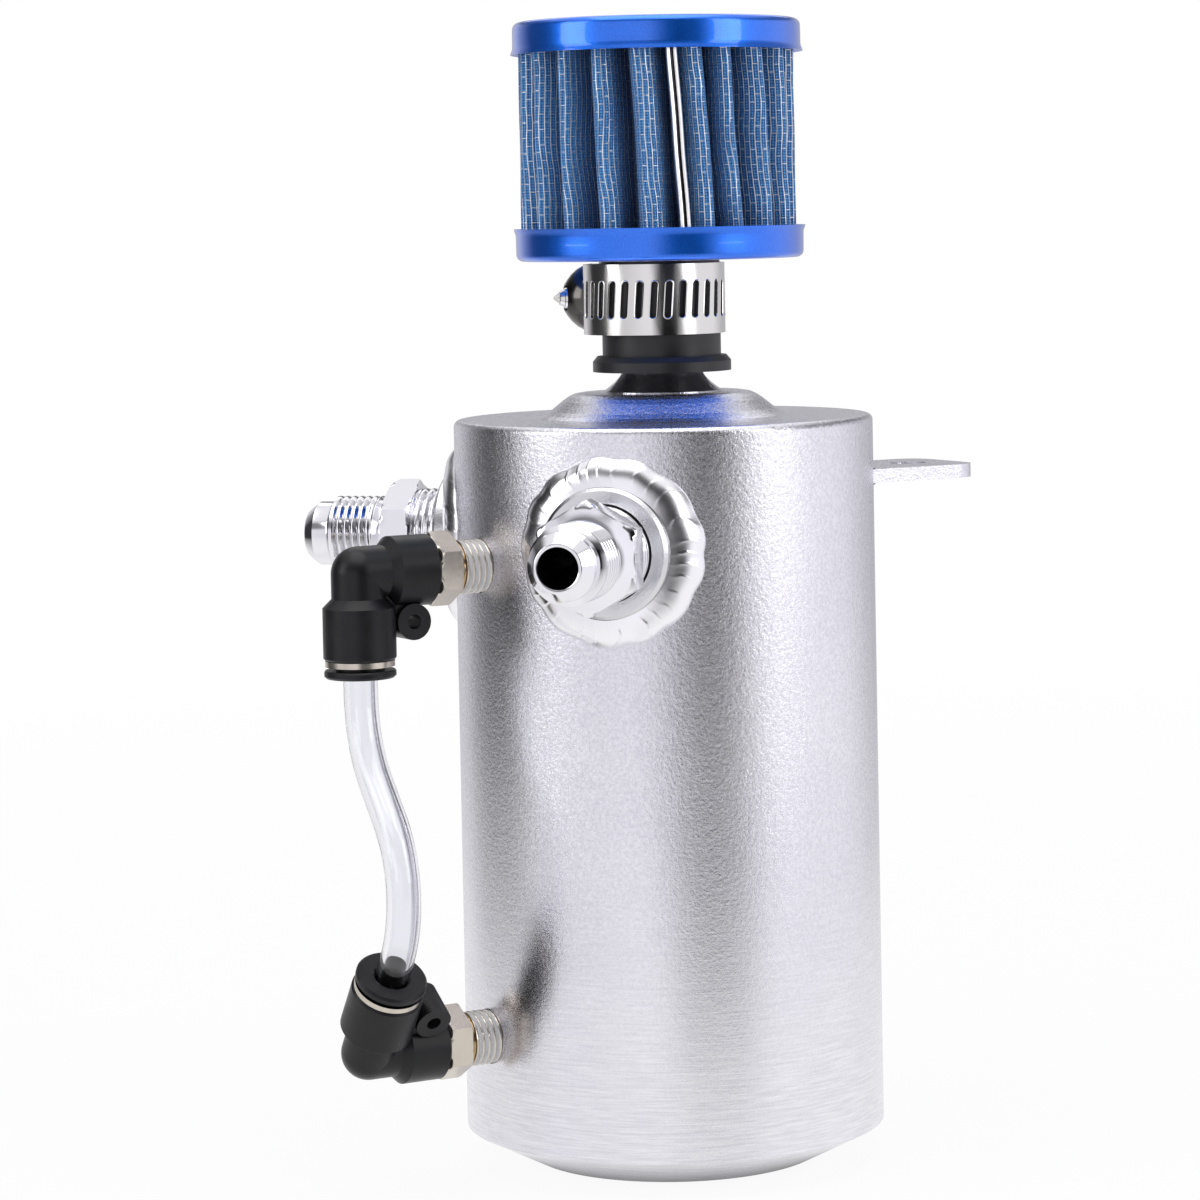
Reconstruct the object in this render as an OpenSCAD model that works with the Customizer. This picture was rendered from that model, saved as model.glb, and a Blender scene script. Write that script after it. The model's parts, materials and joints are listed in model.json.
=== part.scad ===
// Oil catch can for an engine bay: a welded aluminium tank with a clamped breather
// filter on its neck, two hose ports, and a clear sight tube between two swivel elbows.
// Millimetres. The origin is the centre of the base that the can stands on, +Z is up.
// Azimuths are measured about +Z from the front port, which points along -Y.

/* [Tank] */
// Outside diameter of the tank
tank_d = 76; // [60:1:110]
// Length of the straight wall, with its top plate
tank_h = 128; // [100:1:220]
// Thickness of the wall
tank_wall = 3; // [2:0.5:4]
// Thickness of the top and bottom plates
plate_t = 3; // [2:0.5:4]
// Radius of the turned edge of the top plate
rim_round = 1.2; // [0.5:0.1:1.8]
// Depth of the dished bottom below the wall
dish_drop = 6; // [4:0.5:10]
// Diameter of the flat that the can stands on
base_d = 53; // [45:1:56]

/* [Dome and neck] */
// Diameter of the raised dome at its foot
dome_d = 47; // [42:1:56]
// Diameter of the dome's flat crown
crown_d = 30; // [25:1:34]
// Height of the dome above the top plate
dome_rise = 4.5; // [3:0.5:8]
// Diameter of the neck's polished flare at its foot
flare_d = 21; // [18:0.5:24]
// Height of the flare
flare_h = 3.8; // [2:0.1:8]
// Outside diameter of the neck pipe
neck_d = 14.4; // [10:0.1:16]
// Wall of the neck pipe
neck_wall = 1.4; // [1:0.1:2]
// Length of the neck pipe above the flare
neck_h = 16.5; // [14:0.5:18]

/* [Hose ports] */
// Azimuth of the side port
side_port_az = -90; // [-110:1:-80]
// Depth of both ports' axes below the top plate
port_drop = 21.5; // [18:0.5:60]
// Outside diameter of the welded boss
boss_d = 23; // [20:0.5:26]
// How far the boss's face stands out from the wall
boss_proud = 3; // [2:0.5:6]
// Thread diameter, in the boss and outside
port_thread_d = 13.8; // [12:0.1:15]
// Bore of the fitting
port_bore_d = 7; // [5:0.5:8]
// Distance across the flats of the fitting
port_hex_af = 17.5; // [16:0.5:19]
// Length of the round collar between boss and hexagon
port_collar_h = 5.5; // [1:0.5:8]
// Length of the hexagon
port_hex_h = 5.5; // [4:0.5:8]
// Length of the plain neck behind the outside thread
port_neck_h = 3.6; // [2:0.1:6]
// Length of the outside thread
port_thread_h = 7.6; // [5:0.1:12]
// Length of the flared nose
port_nose_h = 5; // [4:0.5:7]
// Width of the weld bead round a boss
weld_w = 5.4; // [3:0.1:6]
// Height of the weld bead against the boss
weld_h = 2.6; // [1:0.1:2.8]
// Number of ripples round a boss
ripples = 20; // [18:1:24]

/* [Sight gauge] */
// Azimuth of the sight gauge
gauge_az = -45; // [-60:1:-35]
// Height of the lower elbow's axis above the base
gauge_low_z = 25.1; // [20:0.1:32]
// Depth of the upper elbow's axis below the top plate
gauge_drop = 24.9; // [12:0.1:32]
// Lean of the lower elbow's leg from the vertical
low_lean = 34; // [20:1:40]
// Lean of the upper elbow's leg from the vertical
high_lean = 0; // [-6:1:12]
// Outside diameter of the clear tube
tube_d = 6; // [5:0.5:7]
// Wall of the clear tube
tube_wall = 1; // [0.5:0.1:1.2]
// Bend radius of the tube near the upper elbow
high_bend_r = 25; // [16:1:32]
// Bend radius of the tube near the lower elbow
low_bend_r = 22; // [16:1:28]
// Straight length of tube outside each elbow
tube_lead = 3; // [1:0.5:4]

/* [Elbows] */
// Diameter of the stem's thread
stem_thread_d = 9.7; // [9:0.1:11]
// Length of thread that shows outside the wall
stem_thread_h = 5.7; // [3:0.1:9]
// Distance across the flats of the stem
stem_hex_af = 11.5; // [11:0.5:14]
// Length of the stem's hexagon
stem_hex_h = 4.6; // [3:0.1:6]
// Bore of the stem
stem_bore_d = 4.4; // [3:0.1:5]
// Diameter of the elbow's swivel barrel
barrel_d = 12.5; // [12:0.1:15]
// Length of the swivel barrel
barrel_h = 9; // [7:0.1:12]
// Diameter of the bend
bend_d = 9.6; // [9:0.1:12]
// Distance from the barrel's outer end to the leg's axis
bend_reach = 4.4; // [4.2:0.1:9]
// Diameter of the leg that takes the tube
leg_d = 12.8; // [12.4:0.1:15]
// Length of the leg from the bend's axis
leg_h = 15.1; // [14.8:0.1:20]
// Length of the leg's wide part
leg_wide = 9.2; // [8.6:0.1:9.6]
// Diameter of the lug
lug_d = 6.4; // [5.5:0.1:7]
// Hole through the lug
lug_hole_d = 2.6; // [2:0.1:3.2]
// Length of the lug
lug_h = 7; // [5:0.1:8]
// Thickness of the guide ring's flange
guide_h = 1; // [0.8:0.1:2]
// Thickness of the release ring's flange
release_h = 1.4; // [1:0.1:2.5]
// How far the release ring can be pushed in
release_travel = 0.5; // [0.4:0.1:1.2]

/* [Breather filter] */
// Diameter of the pleats
pleat_d = 50.6; // [44:0.2:60]
// Number of pleats
pleats = 22; // [18:1:26]
// Depth of each pleat
pleat_depth = 6.5; // [4:0.5:8]
// Thickness of the pleated cotton and mesh
media_t = 1.1; // [0.8:0.1:1.4]
// Height of the pleats
media_h = 32.5; // [26:0.5:60]
// Sheet thickness of the metal caps
cap_t = 0.6; // [0.4:0.1:1]
// Height of each cap's side
cap_h = 5.9; // [4:0.1:8]
// Rolled radius of each cap's edge
cap_round = 2; // [1.6:0.1:3]
// How far the cap's lip flares
cap_lip = 0.4; // [0.2:0.1:0.8]
// Azimuth of the seam clip
seam_az = 22; // [0:1:45]
// Width of the seam clip
seam_w = 2; // [1.6:0.1:3]

/* [Rubber neck and clamp] */
// Outside diameter of the rubber neck
rubber_d = 21.5; // [20:0.5:24]
// Diameter of the bead at the rubber neck's mouth
bead_d = 25.1; // [24:0.1:28]
// Height of the bead
bead_h = 2.8; // [2:0.1:4]
// Height of rubber between the bead and the band
rubber_show = 4; // [2:0.5:8]
// Width of the clamp's band
band_w = 12.7; // [9:0.1:14]
// Thickness of the band
band_t = 0.7; // [0.5:0.1:1]
// Slack between the band and the rubber
band_slack = 1.4; // [0.2:0.1:2]
// Number of slots round the band
slots = 30; // [20:1:34]
// Width of a slot
slot_w = 1.2; // [0.8:0.1:1.4]
// Length of a slot
slot_h = 6.6; // [5:0.1:7.5]
// Azimuth of the clamp's housing
housing_az = 207; // [190:1:225]
// Length of the housing
housing_w = 14; // [12:0.5:16]
// Thread diameter of the worm screw
worm_d = 6.6; // [5:0.1:7]
// Distance across the flats of the worm screw's head
worm_hex_af = 7; // [6:0.5:8]

/* [Mounting tab] */
// Azimuth of the tab
tab_az = 135; // [120:1:150]
// Depth of the tab's top face below the top plate
tab_drop = 11; // [8:0.5:60]
// Thickness of the tab
tab_t = 2.5; // [2:0.5:4]
// Width of the tab
tab_w = 22; // [18:1:30]
// How far the tab stands out from the tank
tab_reach = 24; // [20:0.5:40]
// Diameter of the bolt hole
tab_hole_d = 6.5; // [5:0.5:8]
// Distance from the tab's end to the hole's centre
tab_hole_edge = 9; // [7:0.5:10]
// Corner radius of the tab's end
tab_corner = 5; // [2:0.5:8]
// Leg of the tab's fillet weld
tab_weld = 2; // [1:0.5:2.5]

/* [Drain] */
// Thread diameter of the drain plug
drain_thread_d = 13; // [10:0.5:14]
// Outside diameter of the drain boss
drain_boss_d = 20; // [18:1:24]
// Height of the drain boss
drain_boss_h = 9; // [7:1:14]
// Distance across the flats of the plug's socket
drain_socket_af = 6; // [5:1:7]

/* [Hidden] */
$fn = 72;

// Radial room left between mating threads and between pieces that turn or slide
thread_gap = 0.05;
run_gap = 0.06;
// Overlap of cutting solids past the faces they cut
eps = 0.1;

tank_r = tank_d / 2;
wall_ir = tank_r - tank_wall;
wall_top = dish_drop + tank_h - plate_t;
roof_z = dish_drop + tank_h;
crown_z = roof_z + dome_rise;
port_z = roof_z - port_drop;
gauge_high_z = roof_z - gauge_drop;
tab_z = roof_z - tab_drop;
neck_r = neck_d / 2;
neck_bore_r = neck_r - neck_wall;
neck_spigot = 3;

boss_r = boss_d / 2;
boss_face = tank_r + boss_proud;
boss_in = sqrt(pow(wall_ir, 2) - pow(boss_r, 2)) - 0.6;
port_r = port_thread_d / 2;
port_hex_r = port_hex_af / 2 / cos(30);
port_collar_r = port_hex_af / 2 - 0.4;
port_hex_x = boss_face + port_collar_h;
port_neck_x = port_hex_x + port_hex_h;
port_thread_x = port_neck_x + port_neck_h;
port_nose_x = port_thread_x + port_thread_h;
port_tip_x = port_nose_x + port_nose_h;
nose_angle = 37;
nose_tip_r = port_bore_d / 2 + 0.6;
nose_r = port_r - 1;
nose_cone_x = port_tip_x - (nose_r - nose_tip_r) / tan(nose_angle);
oring_r = 0.9;
weld_seat = 0.03;
weld_rake = 4;
weld_arc = 6;

stem_r = stem_thread_d / 2;
stem_in = wall_ir - 1;
stem_hex_x = tank_r + stem_thread_h;
barrel_x = stem_hex_x + stem_hex_h;
barrel_end = barrel_x + barrel_h;
leg_x = barrel_end + bend_reach;
spindle_r = barrel_d / 2 - 2.1;
spindle_end = barrel_end - 0.8;
tube_r = tube_d / 2;
tube_ir = tube_r - tube_wall;
socket_r = tube_r + run_gap;
bend_r = bend_d / 2;
leg_r = leg_d / 2;
socket_depth = 9.4;
seal_depth = 6.9;
grab_depth = 5.6;
guide_depth = 4.4;
sleeve_t = 1.24;
guide_t = 0.8;
tube_end_gap = 0.2;
flange_gap = 0.15;
tube_stop = leg_h - socket_depth;
tube_seal_r = 0.75;
seal_room = 0.9;
seal_z = leg_h - seal_depth;
grab_z = leg_h - grab_depth;
grab_t = 0.4;
guide_z = leg_h - guide_depth;
guide_bore_r = socket_r + sleeve_t;
mouth_r = guide_bore_r + guide_t;
release_z = leg_h + guide_h + release_travel + flange_gap;
release_out = release_z + release_h;

rubber_z = crown_z + flare_h;
band_z = rubber_z + bead_h + rubber_show;
band_top = band_z + band_w;
neck_top = rubber_z + neck_h;
foot_gap = 0.05;
foot_t = 0.5;
base_z = band_top + foot_gap + foot_t + 0.15;
rubber_disc_h = cap_h - 1.2;
media_z = base_z + cap_t + rubber_disc_h;
media_top = media_z + media_h;
potting_z = media_top + 0.02;
potting_h = rubber_disc_h;
cap_r = pleat_d / 2 + 0.15 + cap_t;
rubber_r = rubber_d / 2;

band_ir = rubber_r + band_slack;
band_or = band_ir + band_t;
slack_az = housing_az - 312 + 360;
worm_r = worm_d / 2;
worm_y = band_or + worm_r + 0.15;
worm_z = band_z + band_w / 2;
arch_r = worm_r + 0.25;
arch_t = 0.9;
cone_h = 3.6;
point_h = 3.4;

// Places children on the radial axis +X of a feature at this azimuth and height
module at_azimuth(az, z = 0) {
    translate([0, 0, z])
        rotate([0, 0, az - 90])
            children();
}

// Solid of revolution about the local +X axis, from a profile of [x, radius] points
module turned(profile) {
    rotate([0, 90, 0])
        rotate_extrude()
            polygon([for (p = profile) [p[1], p[0]]]);
}

// Cylinder along the local +X axis
module rod(x0, x1, r) {
    translate([x0, 0, 0])
        rotate([0, 90, 0])
            cylinder(h = x1 - x0, r = r);
}

// Hexagonal prism along the local +X axis with a corner up, its outer corners chamfered
module hex_nut(x0, x1, corner_r, chamfer = 0.8) {
    intersection() {
        translate([x0, 0, 0])
            rotate([0, 90, 0])
                cylinder(h = x1 - x0, r = corner_r, $fn = 6);
        turned([
            [x0, 0], [x0, corner_r - chamfer / 2], [x0 + chamfer / 4, corner_r],
            [x1 - chamfer / 2, corner_r], [x1, corner_r - chamfer], [x1, 0]
        ]);
    }
}

// Torus about +Z at this height
module torus(r, cross_r, z = 0) {
    translate([0, 0, z])
        rotate_extrude()
            translate([r, 0])
                circle(r = cross_r, $fn = 24);
}

// The tank

module tank_wall_tube() {
    color("silver")
        difference() {
            translate([0, 0, dish_drop])
                cylinder(h = wall_top - dish_drop, r = tank_r);
            translate([0, 0, dish_drop - eps])
                cylinder(h = wall_top - dish_drop + 2 * eps, r = wall_ir);
            for (az = [0, side_port_az])
                at_azimuth(az, port_z)
                    rod(0, tank_r + eps, boss_r);
            for (z = [gauge_low_z, gauge_high_z])
                at_azimuth(gauge_az, z)
                    rod(0, tank_r + eps, stem_r + thread_gap);
        }
}

// Half section of the dished top, with a turned edge and a rounded dome foot and shoulder
module top_plate() {
    foot_r = dome_d / 2;
    crown_r = crown_d / 2;
    color("silver")
        rotate_extrude()
            difference() {
                union() {
                    translate([0, wall_top])
                        square([tank_r, plate_t - rim_round]);
                    translate([0, roof_z - rim_round])
                        square([tank_r - rim_round, rim_round]);
                    translate([tank_r - rim_round, roof_z - rim_round])
                        circle(r = rim_round);
                    polygon(concat(
                        [[0, wall_top]],
                        [for (s = [0:8]) dome_point(s / 8, foot_r, crown_r)],
                        [[0, crown_z]]
                    ));
                }
                polygon(concat(
                    [[0, wall_top - eps], [foot_r - plate_t * 0.6, wall_top - eps]],
                    [for (s = [0:8]) dome_point(s / 8, foot_r, crown_r) - [plate_t * 0.6, plate_t]],
                    [[0, crown_z - plate_t]]
                ));
                translate([0, wall_top - eps])
                    square([neck_r, dome_rise + plate_t + 2 * eps]);
            }
}

// Point of the dome's profile at share s from its foot to its crown, an S-curve
function dome_point(s, foot_r, crown_r) =
    [foot_r + (crown_r - foot_r) * s, roof_z + dome_rise * (1 - cos(180 * s)) / 2];

module bottom_plate() {
    base_r = base_d / 2;
    color("silver")
        rotate_extrude()
            polygon([
                [drain_boss_d / 2, 0], [base_r - 0.6, 0], [base_r, 0.15],
                [tank_r, dish_drop], [wall_ir, dish_drop],
                [base_r, plate_t + 0.15], [base_r - 0.6, plate_t], [drain_boss_d / 2, plate_t]
            ]);
}

module drain_boss() {
    color("silver")
        difference() {
            cylinder(h = drain_boss_h, r = drain_boss_d / 2);
            translate([0, 0, -eps])
                cylinder(h = drain_boss_h + 2 * eps, r = drain_thread_d / 2 + thread_gap);
        }
}

// Headless plug with a hexagonal socket, screwed in just past flush
module drain_plug() {
    plug_r = drain_thread_d / 2;
    color("goldenrod")
        difference() {
            translate([0, 0, 0.6])
                cylinder(h = drain_boss_h - 1.6, r = plug_r);
            translate([0, 0, 0])
                cylinder(h = drain_boss_h / 2, r = drain_socket_af / 2 / cos(30), $fn = 6);
        }
}

// Polished flare and pipe in one turned piece, its spigot welded into the crown
module neck_pipe() {
    color("gainsboro")
        rotate_extrude()
            polygon([
                [neck_bore_r, crown_z - plate_t - neck_spigot], [neck_r, crown_z - plate_t - neck_spigot],
                [neck_r, crown_z], [flare_d / 2, crown_z], [flare_d / 2 - 0.4, crown_z + 0.5],
                [neck_r + 0.25, rubber_z - 0.4], [neck_r, rubber_z],
                [neck_r, neck_top - 1], [neck_r - 0.6, neck_top], [neck_bore_r, neck_top]
            ]);
}

// The hose ports

module port_boss() {
    color("gainsboro")
        turned([
            [boss_in, port_r + thread_gap], [boss_in, boss_r], [boss_face - 0.6, boss_r],
            [boss_face, boss_r - 0.6], [boss_face, port_r + 2 * oring_r],
            [boss_face - 2 * oring_r, port_r + 2 * oring_r],
            [boss_face - 2 * oring_r, port_r + thread_gap]
        ]);
}

// Closed solid swept through rings of points, each ring a list of the same length.
// A looped sweep joins its last ring to its first, an open one gets flat ends.
module sweep(rings, looped = false) {
    n = len(rings[0]);
    count = len(rings);
    steps = looped ? count : count - 1;
    sides = [for (i = [0:steps - 1], j = [0:n - 1])
        let (k = (i + 1) % count, m = (j + 1) % n)
        each [[i * n + j, k * n + j, k * n + m], [i * n + j, k * n + m, i * n + m]]];
    ends = looped ? [] : [[for (j = [0:n - 1]) j], [for (j = [n - 1:-1:0]) (count - 1) * n + j]];
    polyhedron([for (ring = rings) each ring], concat(sides, ends));
}

// Point of the saddle where the boss's axis is +X: at angle a round the boss, at radius r
// from its axis, this far out of the round wall
function saddle(a, r, out) =
    let (y = r * cos(a))
    [sqrt(pow(tank_r, 2) - pow(y, 2)) + out, y, r * sin(a)];

// One ring of the bead: its root on the wall and the boss, its back bulging outward.
// The bulge swells and falls once for each ripple, which leans back along the seam.
function weld_ring(a) =
    let (
        swell = 1 - 0.13 * pow(abs(cos(a * ripples / 2)), 3),
        w = weld_w * swell,
        r0 = boss_r + weld_seat
    )
    concat(
        [for (k = [0:2]) saddle(a, r0 + w * k / 3, weld_seat)],
        [for (k = [0:weld_arc - 1])
            let (t = 90 * k / (weld_arc - 1))
            saddle(a + weld_rake * sin(2 * t), r0 + w * pow(cos(t), 0.8),
                   weld_seat + weld_h * swell * pow(sin(t), 0.75))]
    );

// Rippled bead that follows the saddle where the boss meets the round wall
module port_weld() {
    steps = ripples * 5;
    color("gainsboro")
        sweep([for (i = [0:steps - 1]) weld_ring(360 * i / steps)], looped = true);
}

module port_seal() {
    color("dimgray")
        translate([boss_face - oring_r, 0, 0])
            rotate([0, 90, 0])
                torus(port_r + oring_r, oring_r - 0.02);
}

// Straight male fitting: boss thread, collar, hexagon, neck, hose thread and flared nose
module port_fitting() {
    bore_r = port_bore_d / 2;
    color("gainsboro")
        difference() {
            union() {
                turned([
                    [boss_in, 0], [boss_in, port_r - 0.8], [boss_in + 0.8, port_r],
                    [boss_face, port_r], [boss_face, port_collar_r],
                    [port_hex_x, port_collar_r], [port_neck_x, port_collar_r - 0.2],
                    [port_neck_x + 0.6, port_collar_r - 0.8], [port_neck_x + 0.6, port_r - 0.9],
                    [port_thread_x - 0.9, port_r - 0.9], [port_thread_x, port_r],
                    [port_nose_x - 0.7, port_r], [port_nose_x, port_r - 0.8],
                    [port_nose_x, nose_r], [nose_cone_x, nose_r], [port_tip_x, nose_tip_r],
                    [port_tip_x, 0]
                ]);
                hex_nut(port_hex_x, port_neck_x, port_hex_r);
            }
            rod(boss_in - eps, port_tip_x + eps, bore_r);
        }
}

module front_boss() { at_azimuth(0, port_z) port_boss(); }
module front_weld() { at_azimuth(0, port_z) port_weld(); }
module front_seal() { at_azimuth(0, port_z) port_seal(); }
module front_fitting() { at_azimuth(0, port_z) port_fitting(); }
module side_boss() { at_azimuth(side_port_az, port_z) port_boss(); }
module side_weld() { at_azimuth(side_port_az, port_z) port_weld(); }
module side_seal() { at_azimuth(side_port_az, port_z) port_seal(); }
module side_fitting() { at_azimuth(side_port_az, port_z) port_fitting(); }

// The mounting tab

// Flat plate with a rounded end, its root cut to the wall
module mounting_tab() {
    end_x = tank_r + tab_reach;
    color("gainsboro")
        at_azimuth(tab_az, tab_z - tab_t)
            difference() {
                union() {
                    translate([wall_ir / 2, -tab_w / 2, 0])
                        cube([end_x - tab_corner - wall_ir / 2, tab_w, tab_t]);
                    translate([end_x - 2 * tab_corner, -tab_w / 2 + tab_corner, 0])
                        cube([2 * tab_corner, tab_w - 2 * tab_corner, tab_t]);
                    for (side = [-1, 1])
                        translate([end_x - tab_corner, side * (tab_w / 2 - tab_corner), 0])
                            cylinder(h = tab_t, r = tab_corner);
                }
                translate([0, 0, -eps])
                    cylinder(h = tab_t + 2 * eps, r = tank_r);
                translate([end_x - tab_hole_edge, 0, -eps])
                    cylinder(h = tab_t + 2 * eps, r = tab_hole_d / 2);
            }
}

// Fillet welds along the top and the underside of the tab's root
module tab_weld_bead() {
    half_angle = asin(tab_w / 2 / tank_r);
    color("gainsboro")
        at_azimuth(tab_az, 0)
            for (side = [0, 1])
                translate([0, 0, tab_z - side * tab_t])
                    rotate([0, 0, -half_angle])
                        rotate_extrude(angle = 2 * half_angle)
                            polygon([
                                [tank_r, 0], [tank_r + tab_weld, 0],
                                [tank_r + tab_weld * 0.45, (1 - 2 * side) * tab_weld * 0.45],
                                [tank_r, (1 - 2 * side) * tab_weld]
                            ]);
}

// The sight gauge

// Turns the children about the elbow's own axis. Lean 0 points the leg along +Z.
module on_gauge(z, turn = 0) {
    at_azimuth(gauge_az, z)
        rotate([turn, 0, 0])
            children();
}

// Turn of each elbow about its stem that gives its leg the stated lean
high_turn = 180 + high_lean;
low_turn = -low_lean;

module elbow_stem() {
    groove_x = barrel_x + barrel_h / 2;
    color("tan")
        difference() {
            union() {
                turned([
                    [stem_in, 0], [stem_in, stem_r - 0.5], [stem_in + 0.7, stem_r],
                    [stem_hex_x, stem_r], [stem_hex_x, barrel_d / 2 - 1],
                    [barrel_x, barrel_d / 2 - 1], [barrel_x, spindle_r],
                    [groove_x - 0.8, spindle_r], [groove_x - 0.8, spindle_r - 1],
                    [groove_x + 0.8, spindle_r - 1], [groove_x + 0.8, spindle_r],
                    [spindle_end, spindle_r], [spindle_end, 0]
                ]);
                hex_nut(stem_hex_x, barrel_x, stem_hex_af / 2 / cos(30), 0.5);
            }
            rod(stem_in - eps, spindle_end + eps, stem_bore_d / 2);
        }
}

module stem_seal() {
    color("dimgray")
        translate([barrel_x + barrel_h / 2, 0, 0])
            rotate([0, 90, 0])
                torus(spindle_r - 0.47, 0.5);
}

// Outside of the elbow: barrel along +X, bend, and leg along +Z
module elbow_outside() {
    shoulder = (barrel_d - bend_d) / 2;
    leg_shoulder = (leg_d - bend_d) / 2;
    turned([
        [barrel_x, 0], [barrel_x, barrel_d / 2 - 0.4], [barrel_x + 0.4, barrel_d / 2],
        [barrel_end - shoulder, barrel_d / 2], [barrel_end, bend_r], [leg_x, bend_r], [leg_x, 0]
    ]);
    translate([leg_x, 0, 0]) {
        sphere(r = bend_r);
        rotate_extrude()
            polygon([
                [0, 0], [bend_r, 0], [bend_r, leg_h - leg_wide - leg_shoulder], [leg_r, leg_h - leg_wide],
                [leg_r, leg_h - 0.5], [leg_r - 0.4, leg_h], [0, leg_h]
            ]);
    }
}

// Lug in the inner corner, with a web to the barrel and to the leg
lug_x = leg_x - leg_r - lug_d / 2 + 0.6;
lug_z = barrel_d / 2 + lug_d / 2 - 0.7;
module elbow_lug() {
    translate([lug_x, -lug_h / 2, lug_z])
        rotate([-90, 0, 0])
            cylinder(h = lug_h, r = lug_d / 2);
    translate([lug_x, -lug_h / 2 + 1, 0])
        cube([leg_x - lug_x, lug_h - 2, lug_z]);
}

module elbow_body() {
    color("#26272a")
        difference() {
            union() {
                elbow_outside();
                elbow_lug();
            }
            translate([lug_x, -lug_h, lug_z])
                rotate([-90, 0, 0])
                    cylinder(h = 2 * lug_h, r = lug_hole_d / 2);
            rod(barrel_x - eps, barrel_end, spindle_r + run_gap);
            rod(barrel_end - eps, leg_x, stem_bore_d / 2);
            translate([leg_x, 0, 0])
                rotate_extrude()
                    polygon([
                        [0, 0], [stem_bore_d / 2, 0], [stem_bore_d / 2, tube_stop],
                        [socket_r, tube_stop], [socket_r, seal_z - seal_room],
                        [socket_r + 2 * tube_seal_r, seal_z - seal_room],
                        [socket_r + 2 * tube_seal_r, seal_z + seal_room],
                        [mouth_r, seal_z + seal_room], [mouth_r, leg_h + eps], [0, leg_h + eps]
                    ]);
        }
}

module guide_ring() {
    color("silver")
        translate([leg_x, 0, 0])
            rotate_extrude()
                polygon([
                    [guide_bore_r, guide_z], [mouth_r - 0.02, guide_z], [mouth_r - 0.02, leg_h],
                    [leg_r - 0.3, leg_h], [leg_r - 0.3, leg_h + guide_h], [guide_bore_r, leg_h + guide_h]
                ]);
}

// Spring steel ring whose slanted teeth point at the tube
module grab_ring() {
    color("silver")
        translate([leg_x, 0, 0])
            difference() {
                rotate_extrude()
                    polygon([
                        [tube_r + 0.12, grab_z - 0.5], [tube_r + 0.5, grab_z - 0.5],
                        [mouth_r - 0.9, grab_z], [mouth_r - 0.05, grab_z],
                        [mouth_r - 0.05, grab_z + grab_t], [mouth_r - 1, grab_z + grab_t]
                    ]);
                for (i = [0:7])
                    rotate([0, 0, 45 * i])
                        translate([0, -0.25, grab_z - 1])
                            cube([mouth_r - 1.1, 0.5, 2]);
            }
}

module tube_seal() {
    color("dimgray")
        translate([leg_x, 0, 0])
            torus(socket_r + tube_seal_r, tube_seal_r - 0.02, seal_z);
}

// Push ring that frees the tube: a sleeve inside the guide ring and a flange outside
module release_ring() {
    color("#202124")
        translate([leg_x, 0, 0])
            rotate_extrude()
                polygon([
                    [socket_r, guide_z + release_travel - 0.2],
                    [guide_bore_r - run_gap, guide_z + release_travel - 0.2],
                    [guide_bore_r - run_gap, release_z], [leg_r - 0.3, release_z],
                    [leg_r - 0.1, release_z + 0.3], [leg_r - 0.1, release_out - 0.4],
                    [leg_r - 0.5, release_out], [socket_r + 0.3, release_out],
                    [socket_r, release_out - 0.3]
                ]);
}

module upper_stem() { on_gauge(gauge_high_z) elbow_stem(); }
module upper_stem_seal() { on_gauge(gauge_high_z) stem_seal(); }
module upper_elbow() { on_gauge(gauge_high_z, high_turn) elbow_body(); }
module upper_guide_ring() { on_gauge(gauge_high_z, high_turn) guide_ring(); }
module upper_grab_ring() { on_gauge(gauge_high_z, high_turn) grab_ring(); }
module upper_tube_seal() { on_gauge(gauge_high_z, high_turn) tube_seal(); }
module upper_release_ring() { on_gauge(gauge_high_z, high_turn) release_ring(); }
module lower_stem() { on_gauge(gauge_low_z) elbow_stem(); }
module lower_stem_seal() { on_gauge(gauge_low_z) stem_seal(); }
module lower_elbow() { on_gauge(gauge_low_z, low_turn) elbow_body(); }
module lower_guide_ring() { on_gauge(gauge_low_z, low_turn) guide_ring(); }
module lower_grab_ring() { on_gauge(gauge_low_z, low_turn) grab_ring(); }
module lower_tube_seal() { on_gauge(gauge_low_z, low_turn) tube_seal(); }
module lower_release_ring() { on_gauge(gauge_low_z, low_turn) release_ring(); }

// The clear tube lies in the plane of both legs, [y, z] below, as seen along its way down:
// a straight end, an arc, a straight line, an arc the other way and a straight end.
function heading(a) = [sin(a), -cos(a)];
function normal(a) = [cos(a), sin(a)];
high_end = [0, gauge_high_z] + (tube_stop + tube_end_gap) * heading(high_lean);
high_start = [0, gauge_high_z] + (release_out + tube_lead) * heading(high_lean);
low_end = [0, gauge_low_z] - (tube_stop + tube_end_gap) * heading(-low_lean);
low_start = [0, gauge_low_z] - (release_out + tube_lead) * heading(-low_lean);

// Both bends tighten by one share where the elbows leave too little room for them
bend_push = high_bend_r * normal(high_lean) + low_bend_r * normal(-low_lean);
bend_sum = high_bend_r + low_bend_r;
gap = low_start - high_start;
qa = bend_push * bend_push - bend_sum * bend_sum;
qb = gap * bend_push;
bend_share = min(1, 0.98 * (qb - sqrt(qb * qb - qa * (gap * gap))) / qa);
high_r = high_bend_r * bend_share;
low_r = low_bend_r * bend_share;
high_centre = high_start + high_r * normal(high_lean);
low_centre = low_start - low_r * normal(-low_lean);
span = low_centre - high_centre;
line_h = sqrt(span * span - pow(high_r + low_r, 2));
line_a = atan2(span[0], -span[1]) + atan((high_r + low_r) / line_h);

// Stations down the tube, each a point with its heading
tube_turns = 8;
tube_sides = 16;
stations = concat(
    [[high_end, high_lean]],
    [for (i = [0:tube_turns])
        let (a = high_lean + (line_a - high_lean) * i / tube_turns)
        [high_centre - high_r * normal(a), a]],
    [for (i = [0:2 * tube_turns])
        let (a = line_a + (-low_lean - line_a) * i / (2 * tube_turns))
        [low_centre + low_r * normal(a), a]],
    [[low_end, -low_lean]]
);

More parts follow.
